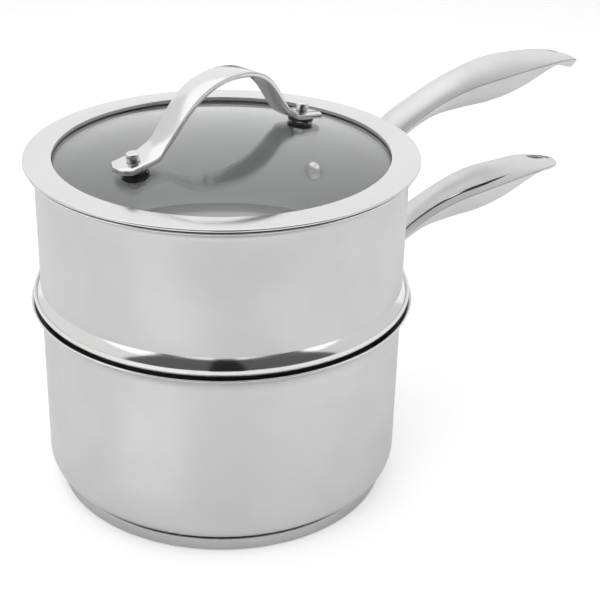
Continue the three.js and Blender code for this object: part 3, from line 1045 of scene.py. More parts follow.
@dataclass(frozen=True)
class SteamerInsert:
    """The upper vessel, which nests in the saucepan's lip.

    bead_pulls are shares of the height from the saucepan's rim to the crease, and step_pulls shares of
    the step's height below its top. The bead's upper pull stands out by bead_swell times bead_reach.
    A face is on the inner skin where its normal's outward part is under INSIDE_SLOPE times its upward
    part. floor_ring and wall_ring are as in the saucepan.
    """

    INSIDE_SLOPE: ClassVar[float] = 0.3

    radius: float = 100
    wall: float = 1
    rim_height: float = 189.9
    lip_reach: float = 4.8
    lip_angle: float = 80
    crease_height: float = 121.5
    bead_reach: float = 3.8
    bead_swell: float = 2.24
    bead_pulls: Point = (0.02, 0.27)
    bead_foot: float = 8
    nest_radius: float = 94
    floor_height: float = 76
    corner_radius: float = 10
    step_height: float = 14
    step_pulls: Point = (0.4, 0.3)
    floor_ring: float = 70
    wall_ring: float = 150
    seat_angles: Point = (15, 35)
    seat_gap: float = 0.3
    rivet_height: float = 149
    hole_radius: float = 2.8
    hole_pitch: float = 19
    hole_rings: int = 3
    drill_depth: float = 4
    handle_length: float = 207.9
    handle_tip_rise: float = 32.5
    belly_share: float = 0.42

    @property
    def lip(self) -> Lip:
        """The rim that the lid stands on."""
        return Lip(self.radius, self.wall, self.lip_reach, self.rim_height, self.lip_angle)

    @property
    def handle_wall(self) -> Wall:
        """The wall that carries the handle."""
        sizes = (self.radius, self.wall, self.rivet_height, self.handle_length, self.handle_tip_rise)
        return Wall("insert", Body.INSERT, *sizes, Side.LEFT, self.belly_share)

    def build(self, finisher: Finisher, saucepan: Saucepan) -> None:
        """Builds the vessel.

        Args:
            finisher: Dresses the piece.
            saucepan: The vessel that it nests in.
        """
        vessel = turned("insert_vessel", sheet(self.skin(saucepan), self.wall), closed=False)
        carve(vessel, self.steam_holes())
        finisher.place(vessel, "insert_body", Body.INSERT, SATIN)
        foot = saucepan.rim_height - self.bead_foot
        finisher.band(vessel, POLISHED, lambda middle, normal: foot < middle.z < self.crease_height)
        finisher.band(vessel, POLISHED, self.lip.edge)
        # Painted light: the inner skin takes a lighter copy of the wall steel.
        finisher.band(vessel, INNER_PAINTED_LIGHT, self.is_inside)
        # Painted shade: the inner floor takes a darker copy of the wall steel.
        finisher.band(vessel, INNER_FLOOR_PAINTED_SHADE, self.is_deep_inside)

    @classmethod
    def is_inside(cls, middle: Vector, normal: Vector) -> bool:
        """Tells from a face's middle and normal whether it is on the inner skin."""
        across = math.hypot(middle.x, middle.y)
        outward = (middle.x * normal.x + middle.y * normal.y) / max(across, 1)
        return cls.INSIDE_SLOPE * normal.z > outward

    def is_deep_inside(self, middle: Vector, normal: Vector) -> bool:
        """Tells in the same way whether a face is on the inner skin below the crease."""
        return middle.z < self.crease_height and self.is_inside(middle, normal)

    def skin(self, saucepan: Saucepan) -> list[Point]:
        """Draws the outer skin from the middle of the floor to the rim.

        Args:
            saucepan: The vessel that it nests in.

        Returns:
            The skin's points.
        """
        lip = saucepan.lip
        low, high = self.seat_angles
        seat_radius = lip.bend + saucepan.wall + self.seat_gap
        seat = arc(lip.centre, seat_radius, 180 - low, 180 - high, steps=6)
        foot, edge = seat[0], seat[-1]
        low_pull, high_pull = (mix(saucepan.rim_height, self.crease_height, s) for s in self.bead_pulls)
        swell = saucepan.radius + self.bead_reach * self.bead_swell
        pulls = ((edge[0], low_pull), (swell, high_pull))
        bead = bezier((edge, (self.radius, self.crease_height)), pulls, steps=28)
        start = (self.nest_radius, foot[1] - self.step_height)
        low_pull, high_pull = (foot[1] - self.step_height * share for share in self.step_pulls)
        pulls = ((self.nest_radius, low_pull), (mix(self.nest_radius, foot[0], 0.5), high_pull))
        step = bezier((start, foot), pulls, steps=10)
        centre = (self.nest_radius - self.corner_radius, self.floor_height + self.corner_radius)
        corner = arc(centre, self.corner_radius, -90, 0, steps=10)
        floor = [(across, self.floor_height) for across in (0, self.floor_ring)]
        wall = [(self.radius, self.wall_ring), *self.lip.skin()]
        return [*floor, *corner, *step[:-1], *seat[:-1], *bead, *wall]

    def steam_holes(self) -> bpy.types.Object:
        """Sets out the drills for the holes in the floor and returns them as one cutter."""
        places = [(0.0, 0.0)]
        for row in range(1, self.hole_rings + 1):
            for i in range(6 * row):
                turn = 2 * math.pi * i / (6 * row)
                reach = row * self.hole_pitch
                places.append((reach * math.cos(turn), reach * math.sin(turn)))
        bench = Bench("steam_drills")
        for across, along in places:
            centre = Vector((across, along, self.floor_height + self.wall / 2)) * MM
            bpy.ops.mesh.primitive_cylinder_add(
                vertices=24, radius=self.hole_radius * MM, depth=self.drill_depth * MM, location=centre
            )
        return bench.close()


@dataclass(frozen=True)
class Section:
    """One cross-section of a long handle."""

    reach: float
    rise: float
    width: float
    crown: float
    belly: float
    ridge: float


@dataclass(frozen=True)
class LongHandle:
    """A hollow handle in two shells that meet along a side crease.

    Each row of root_to_grip is a share of the length, then shares from root to grip of the rise,
    width, crown, belly and ridge. The rows of grip_to_tip are the same with shares from tip to grip.
    fullness and grip_slopes shape the crown's section and then the belly's.
    """

    length: float
    tip_rise: float
    rise: float = 41
    sheet: float = 1.2
    root: tuple[float, float, float] = (10.7, 7.0, 6.3)
    grip: tuple[float, float, float] = (15.7, 9.7, 17.8)
    tab: tuple[float, float, float] = (6.3, 1.8, 5.3)
    tip_round: float = 9.5
    tip_blunting: float = 0.35
    hole_size: Point = (21, 8.5)
    hole_from_tip: float = 14.5
    slot_length: float = 139
    slot_height: float = 1.3
    slot_edge: tuple[Point, ...] = ((0, 0.22), (0.5, 0.36), (0.78, 0.5), (1, 0))
    crown_slot_rise: float = 3.7
    seam: float = 0.15
    steps: int = 48
    sides: int = 20
    fullness: Point = (2, 2.4)
    root_slope: float = 0.5
    grip_slopes: Point = (0.85, 0.7)
    slot_steps: int = 24
    slot_overrun: float = 0.5
    root_to_grip: tuple[tuple[float, ...], ...] = (
        (0, 0, 0, 0, 0, 0),
        (0.137, 0.545, 0, 0, 0.03, 0),
        (0.284, 0.815, 0, 0, 0.19, 0.2),
        (0.431, 0.954, 0.36, 0.6, 0.7, 0.8),
        (0.578, 1, 0.95, 1, 1, 1),
    )
    grip_to_tip: tuple[tuple[float, ...], ...] = (
        (0.71, 1, 1, 0.75, 0.8, 1),
        (0.855, 0.91, 1, 0.26, 0.02, 1),
        (0.942, 0.57, 0.68, 0.04, 0.1, 1),
        (1, 0, 0, 0, 0, 1),
    )

    def rows(self) -> list[Section]:
        """Turns the rows of shares into sections and returns them."""
        rows = []
        for along, rise, width, crown, belly, ridge in self.root_to_grip:
            depths = [mix(a, b, s) for a, b, s in zip(self.root, self.grip, (width, crown, belly))]
            rows.append(Section(along * self.length, rise * self.rise, *depths, ridge))
        for along, rise, width, crown, belly, ridge in self.grip_to_tip:
            depths = [mix(a, b, s) for a, b, s in zip(self.tab, self.grip, (width, crown, belly))]
            rows.append(Section(along * self.length, mix(self.tip_rise, self.rise, rise), *depths, ridge))
        return rows

    def section(self, share: float) -> Section:
        """Reads a smooth curve through the rows.

        Args:
            share: From 0 at the root to 1 at the tip.

        Returns:
            The section there.
        """
        table = [(r.reach, r.rise, r.width, r.crown, r.belly, r.ridge) for r in self.rows()]
        reach, rise, width, crown, belly, ridge = (through(column, share) for column in zip(*table))
        past = max(0.0, (reach - self.length + self.tip_round) / self.tip_round)
        blunt = math.sqrt(1 - self.tip_blunting * past**3)
        return Section(reach, rise, width * blunt, crown, belly, ridge)

    def section_at(self, reach: float) -> Section:
        """Finds the section at a distance from the root.

        Args:
            reach: The distance.

        Returns:
            The section there.
        """
        low, high = 0.0, 1.0
        for _ in range(SEARCH_STEPS):
            middle = (low + high) / 2
            low, high = (middle, high) if self.section(middle).reach < reach else (low, middle)
        return self.section(low)

    def half_loop(self, section: Section, half: Half, inset: float, lift: float) -> list[Vector]:
        """Draws half a section from side to side.

        Args:
            section: The section.
            half: Crown or belly.
            inset: How far inside the outer skin.
            lift: How far the half stands off the crease.

        Returns:
            The places in metres, with the root at x = 0 and the rivets at z = 0.
        """
        pick = 0 if half is Half.CROWN else 1
        depth, fullness = (section.crown, section.belly)[pick], self.fullness[pick]
        slope = mix(self.root_slope, self.grip_slopes[pick], section.ridge)
        places = []
        for i in range(self.sides + 1):
            share = math.cos(math.pi * i / self.sides)
            up = (depth - inset) * max(0.0, 1 - abs(share) ** fullness) ** slope
            height = section.rise + half.value * (lift + up)
            places.append(Vector((section.reach, (section.width - inset) * share, height)) * MM)
        return places

    def shell(self, name: str, half: Half) -> bpy.types.Object:
        """Lofts one hollow half of the handle.

        Args:
            name: Name of the piece.
            half: Crown or belly.

        Returns:
            The piece, with the root at x = 0 and the rivets at z = 0.
        """
        loops = []
        for i in range(self.steps + 1):
            section = self.section(i / self.steps)
            outer = self.half_loop(section, half, 0, self.seam)
            inner = self.half_loop(section, half, self.sheet, self.seam)
            loops.append([*outer, *reversed(inner)])
        bench = Bench(name)
        bench.loft(loops)
        return bench.close()

    def hang_hole(self) -> bpy.types.Object:
        """Builds the cutter for the hole near the tip and returns it."""
        bench = Bench("hang_hole_cutter")
        middle = self.length - self.hole_from_tip
        outline = [Vector((middle + across, along, 0)) * MM for across, along in stadium(*self.hole_size)]
        bench.prism(outline, Vector((0, 0, 2 * self.rise)) * MM)
        return bench.close()

    def leaf(self, middle_of: Callable[[Section], float]) -> list[Point]:
        """Draws a leaf that widens from the root towards the tip.

        Args:
            middle_of: Gives the middle of the leaf at a section.

        Returns:
            The leaf's outline, along the handle and across the leaf.
        """
        below, above = [], []
        shares, halves = zip(*self.slot_edge)
        for i in range(self.slot_steps + 1):
            section = self.section_at(self.slot_length * through(shares, i / self.slot_steps))
            half = self.slot_height * through(halves, i / self.slot_steps)
            middle = middle_of(section)
            reach = section.reach - (self.slot_overrun if i == 0 else 0)
            below.append((reach, middle - half))
            above.append((reach, middle + half))
        return [*below, *reversed(above[:-1])]

    def crown_slot(self, side: Side) -> bpy.types.Object:
        """Builds the cutter for the slot in one side of the crown and returns it."""
        bench = Bench("crown_slot_cutter")
        outline = self.leaf(lambda section: section.rise + self.crown_slot_rise)
        depth = Vector((0, side.value * 2 * self.grip[0], 0)) * MM
        bench.prism([Vector((reach, 0, up)) * MM for reach, up in outline], depth)
        return bench.close()

    def belly_slot(self, side: Side, share: float) -> bpy.types.Object:
        """Builds the cutter for the slot in one side of the belly.

        Args:
            side: The side that is cut.
            share: Where the slot lies between the middle of the belly and the crease.

        Returns:
            The cutter.
        """
        bench = Bench("belly_slot_cutter")
        outline = self.leaf(lambda section: side.value * share * section.width)
        low = -self.grip[2]
        height = Vector((0, 0, self.rise + self.grip[1] + self.grip[2])) * MM
        bench.prism([Vector((reach, along, low)) * MM for reach, along in outline], height)
        return bench.close()


@dataclass(frozen=True)
class WallMount:
    """The bracket and rivets that hold a long handle on a wall."""

    gap: float = 0.3
    rivet_spacing: float = 50
    rivet_shank: float = 3
    rivet_head: float = 6
    rivet_rise: float = 3
    rivet_cap_rise: float = 1.8
    rivet_seat: float = 0.8
    flange_margin: float = 9
    flange_height: float = 26
    flange_thickness: float = 2.5
    flange_soft: float = 0.5
    tang_length: float = 30
    tang_steps: int = 8

    def root(self, wall: Wall) -> Vector:
        """Returns the place of the handle's root in millimetres."""
        return Vector((wall.radius + 2 * self.gap + self.flange_thickness, 0, wall.rivet_height))

    def build(self, finisher: Finisher, wall: Wall) -> None:
        """Builds the handle, the bracket and the two rivets of a wall.

        Args:
            finisher: Dresses the pieces.
            wall: The wall.
        """
        handle = LongHandle(wall.handle_length, wall.handle_tip_rise)
        crown = handle.shell(f"{wall.name}_handle_crown", Half.CROWN)
        belly = handle.shell(f"{wall.name}_handle_belly", Half.BELLY)
        other = Side.LEFT if wall.slot_side is Side.RIGHT else Side.RIGHT
        carve(crown, handle.hang_hole())
        carve(crown, handle.crown_slot(wall.slot_side))
        carve(belly, handle.hang_hole())
        carve(belly, handle.belly_slot(other, wall.belly_share))
        for piece, node in ((crown, "handle_top"), (belly, "handle_bottom")):
            shift(piece, self.root(wall))
            finisher.place(piece, f"{wall.name}_{node}", wall.body, HANDLE, 40)
        bracket = self.bracket(handle, wall)
        for side in Side:
            carve(bracket, self.drill(wall, side))
            carve(bpy.data.objects[f"{wall.name}_vessel"], self.drill(wall, side))
            name = f"{wall.name}_rivet_{side.name.lower()}"
            finisher.place(self.rivet(f"{name}_turned", wall, side), name, wall.body, POLISHED)
        finisher.place(bracket, f"{wall.name}_bracket", wall.body, HANDLE)

    def bracket(self, handle: LongHandle, wall: Wall) -> bpy.types.Object:
        """Builds the curved flange with the tang that fills the handle's root.

        Args:
            handle: The handle that it holds.
            wall: The wall that it lies on.

        Returns:
            The piece.
        """
        near, half = wall.radius + self.gap, self.flange_height
        far = near + self.flange_thickness
        outline = [(near, -half), (far, -half), (far, half), (near, half)]
        flange = turned(f"{wall.name}_handle_bracket", outline, closed=True, steps=120)
        size = stadium(self.rivet_spacing + 2 * self.flange_margin, self.flange_height)
        bench = Bench("flange_outline")
        places = [Vector((wall.radius / 2, y, z)) * MM for y, z in size]
        bench.prism(places, Vector((wall.radius, 0, 0)) * MM)
        carve(flange, bench.close(), Cut.KEEP)
        soften(flange, self.flange_soft)
        inset = handle.sheet + self.gap
        reaches = [i * self.tang_length / self.tang_steps for i in range(self.tang_steps + 1)]
        sections = [handle.section_at(reach) for reach in reaches]
        loops = []
        for i, section in enumerate(sections):
            upper = handle.half_loop(section, Half.CROWN, inset, 0)
            lower = handle.half_loop(section, Half.BELLY, inset, 0)
            loop = [*upper, *reversed(lower[1:-1])]
            back = Vector((-self.gap - self.flange_thickness / 2 if i == 0 else 0, 0, 0)) * MM
            loops.append([place + back + Vector((self.root(wall).x * MM, 0, 0)) for place in loop])
        bench = Bench("bracket_tang")
        bench.loft(loops)
        carve(flange, bench.close(), Cut.JOIN)
        shift(flange, Vector((0, 0, wall.rivet_height)))
        return flange

    def axis(self, wall: Wall, side: Side) -> Vector:
        """Returns the direction of a rivet, square to its wall."""
        turn = side.value * math.asin(self.rivet_spacing / 2 / wall.radius)
        return Vector((math.cos(turn), math.sin(turn), 0))

    def on_axis(self, name: str, wall: Wall, side: Side, outline: Sequence[Point]) -> bpy.types.Object:
        """Turns an outline about a rivet's axis.

        Args:
            name: Name of the piece.
            wall: The wall that the rivet goes through.
            side: The side of the handle that it is on.
            outline: Distance along the rivet from the vessel's axis, and radius there.

        Returns:
            The piece.
        """
        axis = self.axis(wall, side)
        bench = Bench(name)
        bench.trace([(axis * along + Vector((0, 0, across))) * MM for along, across in outline], False)
        bench.spin(SMALL_STEPS, Vector(), axis)
        piece = bench.close()
        shift(piece, Vector((0, 0, wall.rivet_height)))
        return piece

    def drill(self, wall: Wall, side: Side) -> bpy.types.Object:
        """Returns the cutter for a rivet's hole."""
        low, high = wall.radius - 3 * wall.thickness, wall.radius + 2 * self.flange_thickness
        bore = self.rivet_shank + self.gap
        return self.on_axis("rivet_drill", wall, side, [(low, 0), (low, bore), (high, bore), (high, 0)])

    def rivet(self, name: str, wall: Wall, side: Side) -> bpy.types.Object:
        """Turns one rivet about its own axis.

        Args:
            name: Name of the piece.
            wall: The wall that it goes through.
            side: The side of the handle that it is on.

        Returns:
            The piece.
        """
        inner = wall.radius - wall.thickness - self.rivet_seat
        outer = wall.radius + 2 * self.gap + self.flange_thickness
        dome, cap = self.head(inner, -self.rivet_rise), self.head(outer, self.rivet_cap_rise)
        shank = [(inner, self.rivet_shank), (outer, self.rivet_shank)]
        return self.on_axis(name, wall, side, [*reversed(dome), *shank, *cap])

    def head(self, seat: float, rise: float, steps: int = 8) -> list[Point]:
        """Draws a rivet's head from its edge to its crest.

        Args:
            seat: Where its flat side lies along the rivet.
            rise: How far its crest stands from there, below zero towards the vessel's axis.
            steps: Number of steps.

        Returns:
            The places along the rivet, and the radius there.
        """
        turns = [math.pi / 2 * i / steps for i in range(steps + 1)]
        return [(seat + rise * math.sin(t), self.rivet_head * math.cos(t)) for t in turns]


@dataclass(frozen=True)
class Lid:
    """The domed glass lid with its steel ring and arched strap.

    leg_pulls are shares of the strap's rise. taper and flare are shares of the distance from the axis
    to a foot's heel: the start, the two pulls and the end of the strap's edge in plan, from its waist
    to its neck and from its neck to its foot. plan_depth is how far the cutter for that edge reaches
    below the top of the glass, and its whole height. On the strap and the nuts, edges that turn by
    more than SHARP degrees are rounded.
    """

    SHARP: ClassVar[float] = 50

    insert_rim: float = 189.9
    gap: float = 0.3
    outer_radius: float = 105.7
    ring_width: float = 15.3
    ring_sheet: float = 1
    ring_turn: float = 1.3
    ring_hem: Point = (0.5, 1.1)
    ring_slope: float = 0.3
    ring_soft: float = 0.6
    turn_soft: float = 0.2
    seal_thickness: float = 0.7
    seal_play: float = 0.1
    seal_soft: float = 0.2
    seal_steps: int = 8
    dome_radius: float = 395
    glass_rise: float = 10.4
    glass_thickness: float = 4
    glass_radius: float = 97.5
    glass_steps: int = 24
    bolt_spacing: float = 117
    bolt_shank: float = 2.2
    bolt_head: Point = (3.5, 4.3)
    bolt_soft: float = 0.9
    bolt_edge: float = 0.3
    bolt_tail: float = 1
    tail_soft: float = 0.5
    strap_thickness: float = 2.6
    strap_width: float = 17
    strap_neck: float = 13.5
    strap_rise: float = 35.25
    strap_lean: float = 3.8
    strap_soft: float = 0.45
    leg_pulls: Point = (0.48, 1.02)
    taper: tuple[float, float, float, float] = (0.3, 0.5, 0.68, 0.8)
    flare: tuple[float, float, float, float] = (0.8, 0.86, 0.88, 0.94)
    plan_margin: float = 0.01
    plan_depth: Point = (20, 70)
    foot_rise: float = 5.4
    foot_toe: float = 11
    foot_heel: float = 6.5
    foot_clip: float = 3.5
    foot_end: float = 6
    collar_soft: float = 0.35
    spacer_radius: float = 7
    washer_size: Point = (7.5, 1.6)
    nut_size: Point = (5, 4)
    nut_soft: float = 0.3

    @property
    def ring_under(self) -> float:
        """Height of the underside of the ring at its outer edge."""
        return self.insert_rim + 2 * self.gap + self.seal_thickness

    @property
    def ring_inner(self) -> float:
        """Inner radius of the ring."""
        return self.outer_radius - self.ring_width

    @property
    def glass_top(self) -> float:
        """Height of the middle of the dome."""
        return self.insert_rim + self.glass_rise

    @property
    def dome_middle(self) -> float:
        """Height of the middle of the sphere that the dome is part of."""
        return self.glass_top - self.dome_radius

    @property
    def bolt_tilt(self) -> float:
        """Angle of a bolt from upright."""
        return math.asin(self.bolt_spacing / 2 / self.dome_radius)

    @property
    def foot_top(self) -> float:
        """Height of a foot's top along its bolt, as if the bolt stood on the middle of the dome."""
        return self.glass_top + self.foot_rise

    @property
    def washer_under(self) -> float:
        """Height of the underside of a washer, in the same way."""
        return self.glass_top - self.glass_thickness - self.gap - self.washer_size[1]

    @property
    def nut_under(self) -> float:
        """Height of the underside of a nut, in the same way."""
        return self.washer_under - self.gap - self.nut_size[1]

    def dome(self, across: float, drop: float = 0) -> float:
        """Returns the height of the dome, or of a skin that is concentric with it and lower."""
        bend = self.dome_radius - drop
        return self.dome_middle + math.sqrt(bend * bend - across * across)

    def build(self, finisher: Finisher) -> None:
        """Builds the lid.

        Args:
            finisher: Dresses the pieces.
        """
        finisher.place(self.glass(), "lid_glass", Body.LID, GLASS)
        finisher.place(self.ring(), "lid_rim", Body.LID, RING)
        finisher.place(self.seal(), "lid_seal", Body.LID, RUBBER)
        finisher.place(self.strap(), "lid_handle", Body.LID, STRAP)
        fittings = (
            ("bolt", "turned", self.bolt, STRAP),
            ("spacer", "turned", self.spacer, SPACER),
            ("washer", "turned", self.washer, RUBBER),
            ("nut", "cut", self.nut, STRAP),
        )
        for side in Side:
            for kind, work, make, finish in fittings:
                node = f"lid_{kind}_{side.name.lower()}"
                finisher.place(make(f"{node}_{work}", side), node, Body.LID, finish)

    def tip_out(self, piece: bpy.types.Object, side: Side) -> bpy.types.Object:
        """Tips a piece from the middle of the dome out to a bolt, square to the glass.

        Args:
            piece: The piece.
            side: Which bolt it goes to.

        Returns:
            The piece.
        """
        turn = -side.value * self.bolt_tilt
        middle = Vector((0, 0, self.dome_middle)) * MM
        settings = {"orient_axis": "Y", "orient_type": "GLOBAL", "center_override": middle}
        reshape(piece, lambda: bpy.ops.transform.rotate(value=turn, **settings))
        return piece

    def drill(self, side: Side) -> bpy.types.Object:
        """Returns the cutter for a bolt hole."""
        bench = Bench("bolt_drill")
        bpy.ops.mesh.primitive_cylinder_add(
            vertices=32,
            radius=(self.bolt_shank + self.gap) * MM,
            depth=2 * self.strap_rise * MM,
            location=Vector((0, 0, self.glass_top)) * MM,
        )
        return self.tip_out(bench.close(), side)

    def glass(self) -> bpy.types.Object:
        """Turns the dome, drills it and returns it."""
        reaches = [self.glass_radius * i / self.glass_steps for i in range(self.glass_steps + 1)]
        upper = [(across, self.dome(across)) for across in reaches]
        lower = [(across, self.dome(across, self.glass_thickness)) for across in reaches]
        piece = turned("lid_dome", [*upper, *reversed(lower)], closed=False)
        for side in Side:
            carve(piece, self.drill(side))
        return piece

    def ring(self) -> bpy.types.Object:
        """Turns the steel ring round the glass and returns it."""
        top = self.ring_under + self.ring_sheet
        hem_width, hem_height = self.ring_hem
        inner_top = top + self.ring_slope
        inner_under = inner_top - self.ring_sheet
        soft, half = self.ring_soft, self.ring_soft / 2
        outer = arc((self.outer_radius - soft, top - soft), soft, 0, 90, steps=5)
        inner = arc((self.ring_inner + half, inner_top - half), half, 90, 180, steps=4)
        turn_inner = self.outer_radius - self.ring_sheet
        low = top - self.ring_turn
        outline = [
            (turn_inner, self.ring_under),
            (turn_inner, low),
            (self.outer_radius - self.turn_soft, low),
            (self.outer_radius, low + self.turn_soft),
            *outer,
            *inner,
            (self.ring_inner, inner_under - hem_height),
            (self.ring_inner + hem_width, inner_under - hem_height),
            (self.ring_inner + hem_width, inner_under),
        ]
        return turned("lid_ring", outline, closed=True)

    def seal(self) -> bpy.types.Object:
        """Turns the dark ring between the glass, the steel ring and the insert's lip and returns it."""
        inner = self.ring_inner + self.ring_hem[0] + self.seal_play
        steps = self.seal_steps
        bed = [mix(inner, self.glass_radius, i / steps) for i in range(steps + 1)]
        lip_top = self.insert_rim + self.gap
        outer = self.outer_radius - self.ring_sheet - self.gap
        under = self.ring_under - self.gap
        outline = [
            *[(across, self.dome(across) + self.gap) for across in bed],
            (self.glass_radius + self.gap, lip_top),
            (outer, lip_top),
            (outer, under),
            (inner + self.seal_soft, under + self.ring_slope),
            (inner, under + self.ring_slope - self.seal_soft),
        ]
        return turned("lid_seal_ring", outline, closed=True)

    def on_foot(self, side: Side, out: float) -> Point:
        """Finds a place on the line of a foot's top.

        Args:
            side: Which foot.
            out: Distance out from the foot's bolt.

        Returns:
            Where it is, across and up.
        """
        turn, reach = self.bolt_tilt, self.dome_radius + self.foot_rise
        across = reach * math.sin(turn) + out * math.cos(turn)
        return side.value * across, self.dome_middle + reach * math.cos(turn) - out * math.sin(turn)

    def leg(self, side: Side) -> list[Point]:
        """Draws the top of the strap from the end of a foot to the crest and returns it."""
        crest = (self.strap_lean, self.glass_top + self.strap_rise)
        heel = self.on_foot(side, -self.foot_heel)
        low, high = self.leg_pulls
        heel_pull = self.on_foot(side, -self.foot_heel - self.strap_rise * low)
        crest_pull = (self.strap_lean + side.value * self.strap_rise * high, crest[1])
        rise = bezier((heel, crest), (heel_pull, crest_pull), steps=26)
        return [self.on_foot(side, self.foot_toe), *rise]

    def strap(self) -> bpy.types.Object:
        """Bends the strap, trims it in plan, drills it and returns it."""
        top = [*self.leg(Side.RIGHT), *reversed(self.leg(Side.LEFT)[:-1])]
        under = offset(top, -self.strap_thickness)
        width = self.strap_width
        outline = [Vector((across, -width / 2, up)) * MM for across, up in [*top, *reversed(under)]]
        bench = Bench("lid_strap")
        bench.prism(outline, Vector((0, width, 0)) * MM)
        strap = bench.close()
        carve(strap, self.strap_plan(), Cut.KEEP)
        for side in Side:
            carve(strap, self.drill(side))
        soften(strap, self.strap_soft, self.SHARP)
        return strap

    def strap_plan(self) -> bpy.types.Object:
        """Builds the strap's outline in plan as a cutter and returns it."""
        waist, neck = self.strap_width / 2 + self.plan_margin, self.strap_neck / 2
        heel = abs(self.on_foot(Side.LEFT, -self.foot_heel)[0])
        toe = abs(self.on_foot(Side.LEFT, self.foot_toe)[0])
        start, pull, last_pull, narrow = (heel * share for share in self.taper)
        taper = bezier(((start, waist), (narrow, neck)), ((pull, waist), (last_pull, neck)), steps=10)
        narrow, pull, last_pull, pad = (heel * share for share in self.flare)
        flare = bezier(((narrow, neck), (pad, waist)), ((pull, neck), (last_pull, waist)), steps=8)
        quarter = [*taper, *flare[1:], (toe - self.foot_clip, waist), (toe, self.foot_end / 2)]
        half = [*quarter, *[(x, -y) for x, y in reversed(quarter)]]
        outline = [*half, *[(-x, -y) for x, y in half]]
        drop, height = self.plan_depth
        low = self.glass_top - drop
        bench = Bench("strap_plan")
        bench.prism([Vector((x, y, low)) * MM for x, y in outline], Vector((0, 0, height)) * MM)
        return bench.close()

    def bolt(self, name: str, side: Side) -> bpy.types.Object:
        """Turns a bolt with a short round head and returns it."""
        head = self.foot_top + self.gap
        radius, height = self.bolt_head
        end = self.nut_under - self.bolt_tail
        soft = self.bolt_soft
        outline = [
            (0, end),
            (self.bolt_shank - self.tail_soft, end),
            (self.bolt_shank, end + self.tail_soft),
            (self.bolt_shank, head),
            (radius - self.bolt_edge, head),
            (radius, head + self.bolt_edge),
            *arc((radius - soft, head + height - soft), soft, 0, 90, steps=5),
            (0, head + height),
        ]
        return self.tip_out(turned(name, outline, closed=False, steps=SMALL_STEPS), side)

    def collar(self, name: str, side: Side, radius: float, low: float, top: float) -> bpy.types.Object:
        """Turns a collar round a bolt.

        Args:
            name: Name of the piece.
            side: Which bolt it is on.
            radius: Outer radius.
            low: Height of its underside along the bolt.
            top: Height of its top.

        Returns:
            The piece.
        """
        bore, soft = self.bolt_shank + self.gap, self.collar_soft
        outline = [
            (bore, low),
            (radius - soft, low),
            (radius, low + soft),
            (radius, top - soft),
            (radius - soft, top),
            (bore, top),
        ]
        return self.tip_out(turned(name, outline, closed=True, steps=SMALL_STEPS), side)

    def spacer(self, name: str, side: Side) -> bpy.types.Object:
        """Builds the dark spacer between a foot and the glass and returns it."""
        top = self.foot_top - self.strap_thickness - self.gap
        return self.collar(name, side, self.spacer_radius, self.glass_top + self.gap, top)

    def washer(self, name: str, side: Side) -> bpy.types.Object:
        """Builds the washer under the glass and returns it."""
        radius, thickness = self.washer_size
        return self.collar(name, side, radius, self.washer_under, self.washer_under + thickness)

    def nut(self, name: str, side: Side) -> bpy.types.Object:
        """Cuts a six-sided nut, bores it and returns it."""
        radius, height = self.nut_size
        bench = Bench(name)
        corners = arc((0, 0), radius, 0, 300, steps=5)
        bench.prism([Vector((x, y, self.nut_under)) * MM for x, y in corners], Vector((0, 0, height)) * MM)
        piece = self.tip_out(bench.close(), side)
        carve(piece, self.drill(side))
        soften(piece, self.nut_soft, self.SHARP)
        return piece


@dataclass(frozen=True)
class Card:
    """A card round the object that shows only as a reflection in metal and glass.

    Its lower and upper edges are arcs, given as a distance from the axis and a height.
    """

    name: str
    tone: float
    direction: float
    half_angle: float
    low: Point
    high: Point

    def build(self) -> None:
        """Stands the card on the stage."""
        bench = Bench(self.name)
        shares = [2 * i / CARD_STEPS - 1 for i in range(CARD_STEPS + 1)]
        turns = [math.radians(self.direction + self.half_angle * share) for share in shares]
        for reach, up in (self.low, self.high):
            places = [Vector((reach * math.cos(t), reach * math.sin(t), up)) * MM for t in turns]
            bench.trace(places, closed=False)
        bpy.ops.mesh.select_all(action="SELECT")
        bpy.ops.mesh.bridge_edge_loops()
        card = bench.close()
        paint = Paint(f"{self.name}_paint")
        paint.put({"Base Color": grey(0), "Specular IOR Level": 0})
        paint.put({"Emission Color": grey(self.tone), "Emission Strength": 1})
        card.data.materials.append(paint.material)
        hide_from(card, "camera", "diffuse", "transmission", "shadow")


@dataclass(frozen=True)
class Lamp:
    """A soft lamp that looks at the middle of the object."""

    name: str
    place: tuple[float, float, float]
    size: Point
    power: float


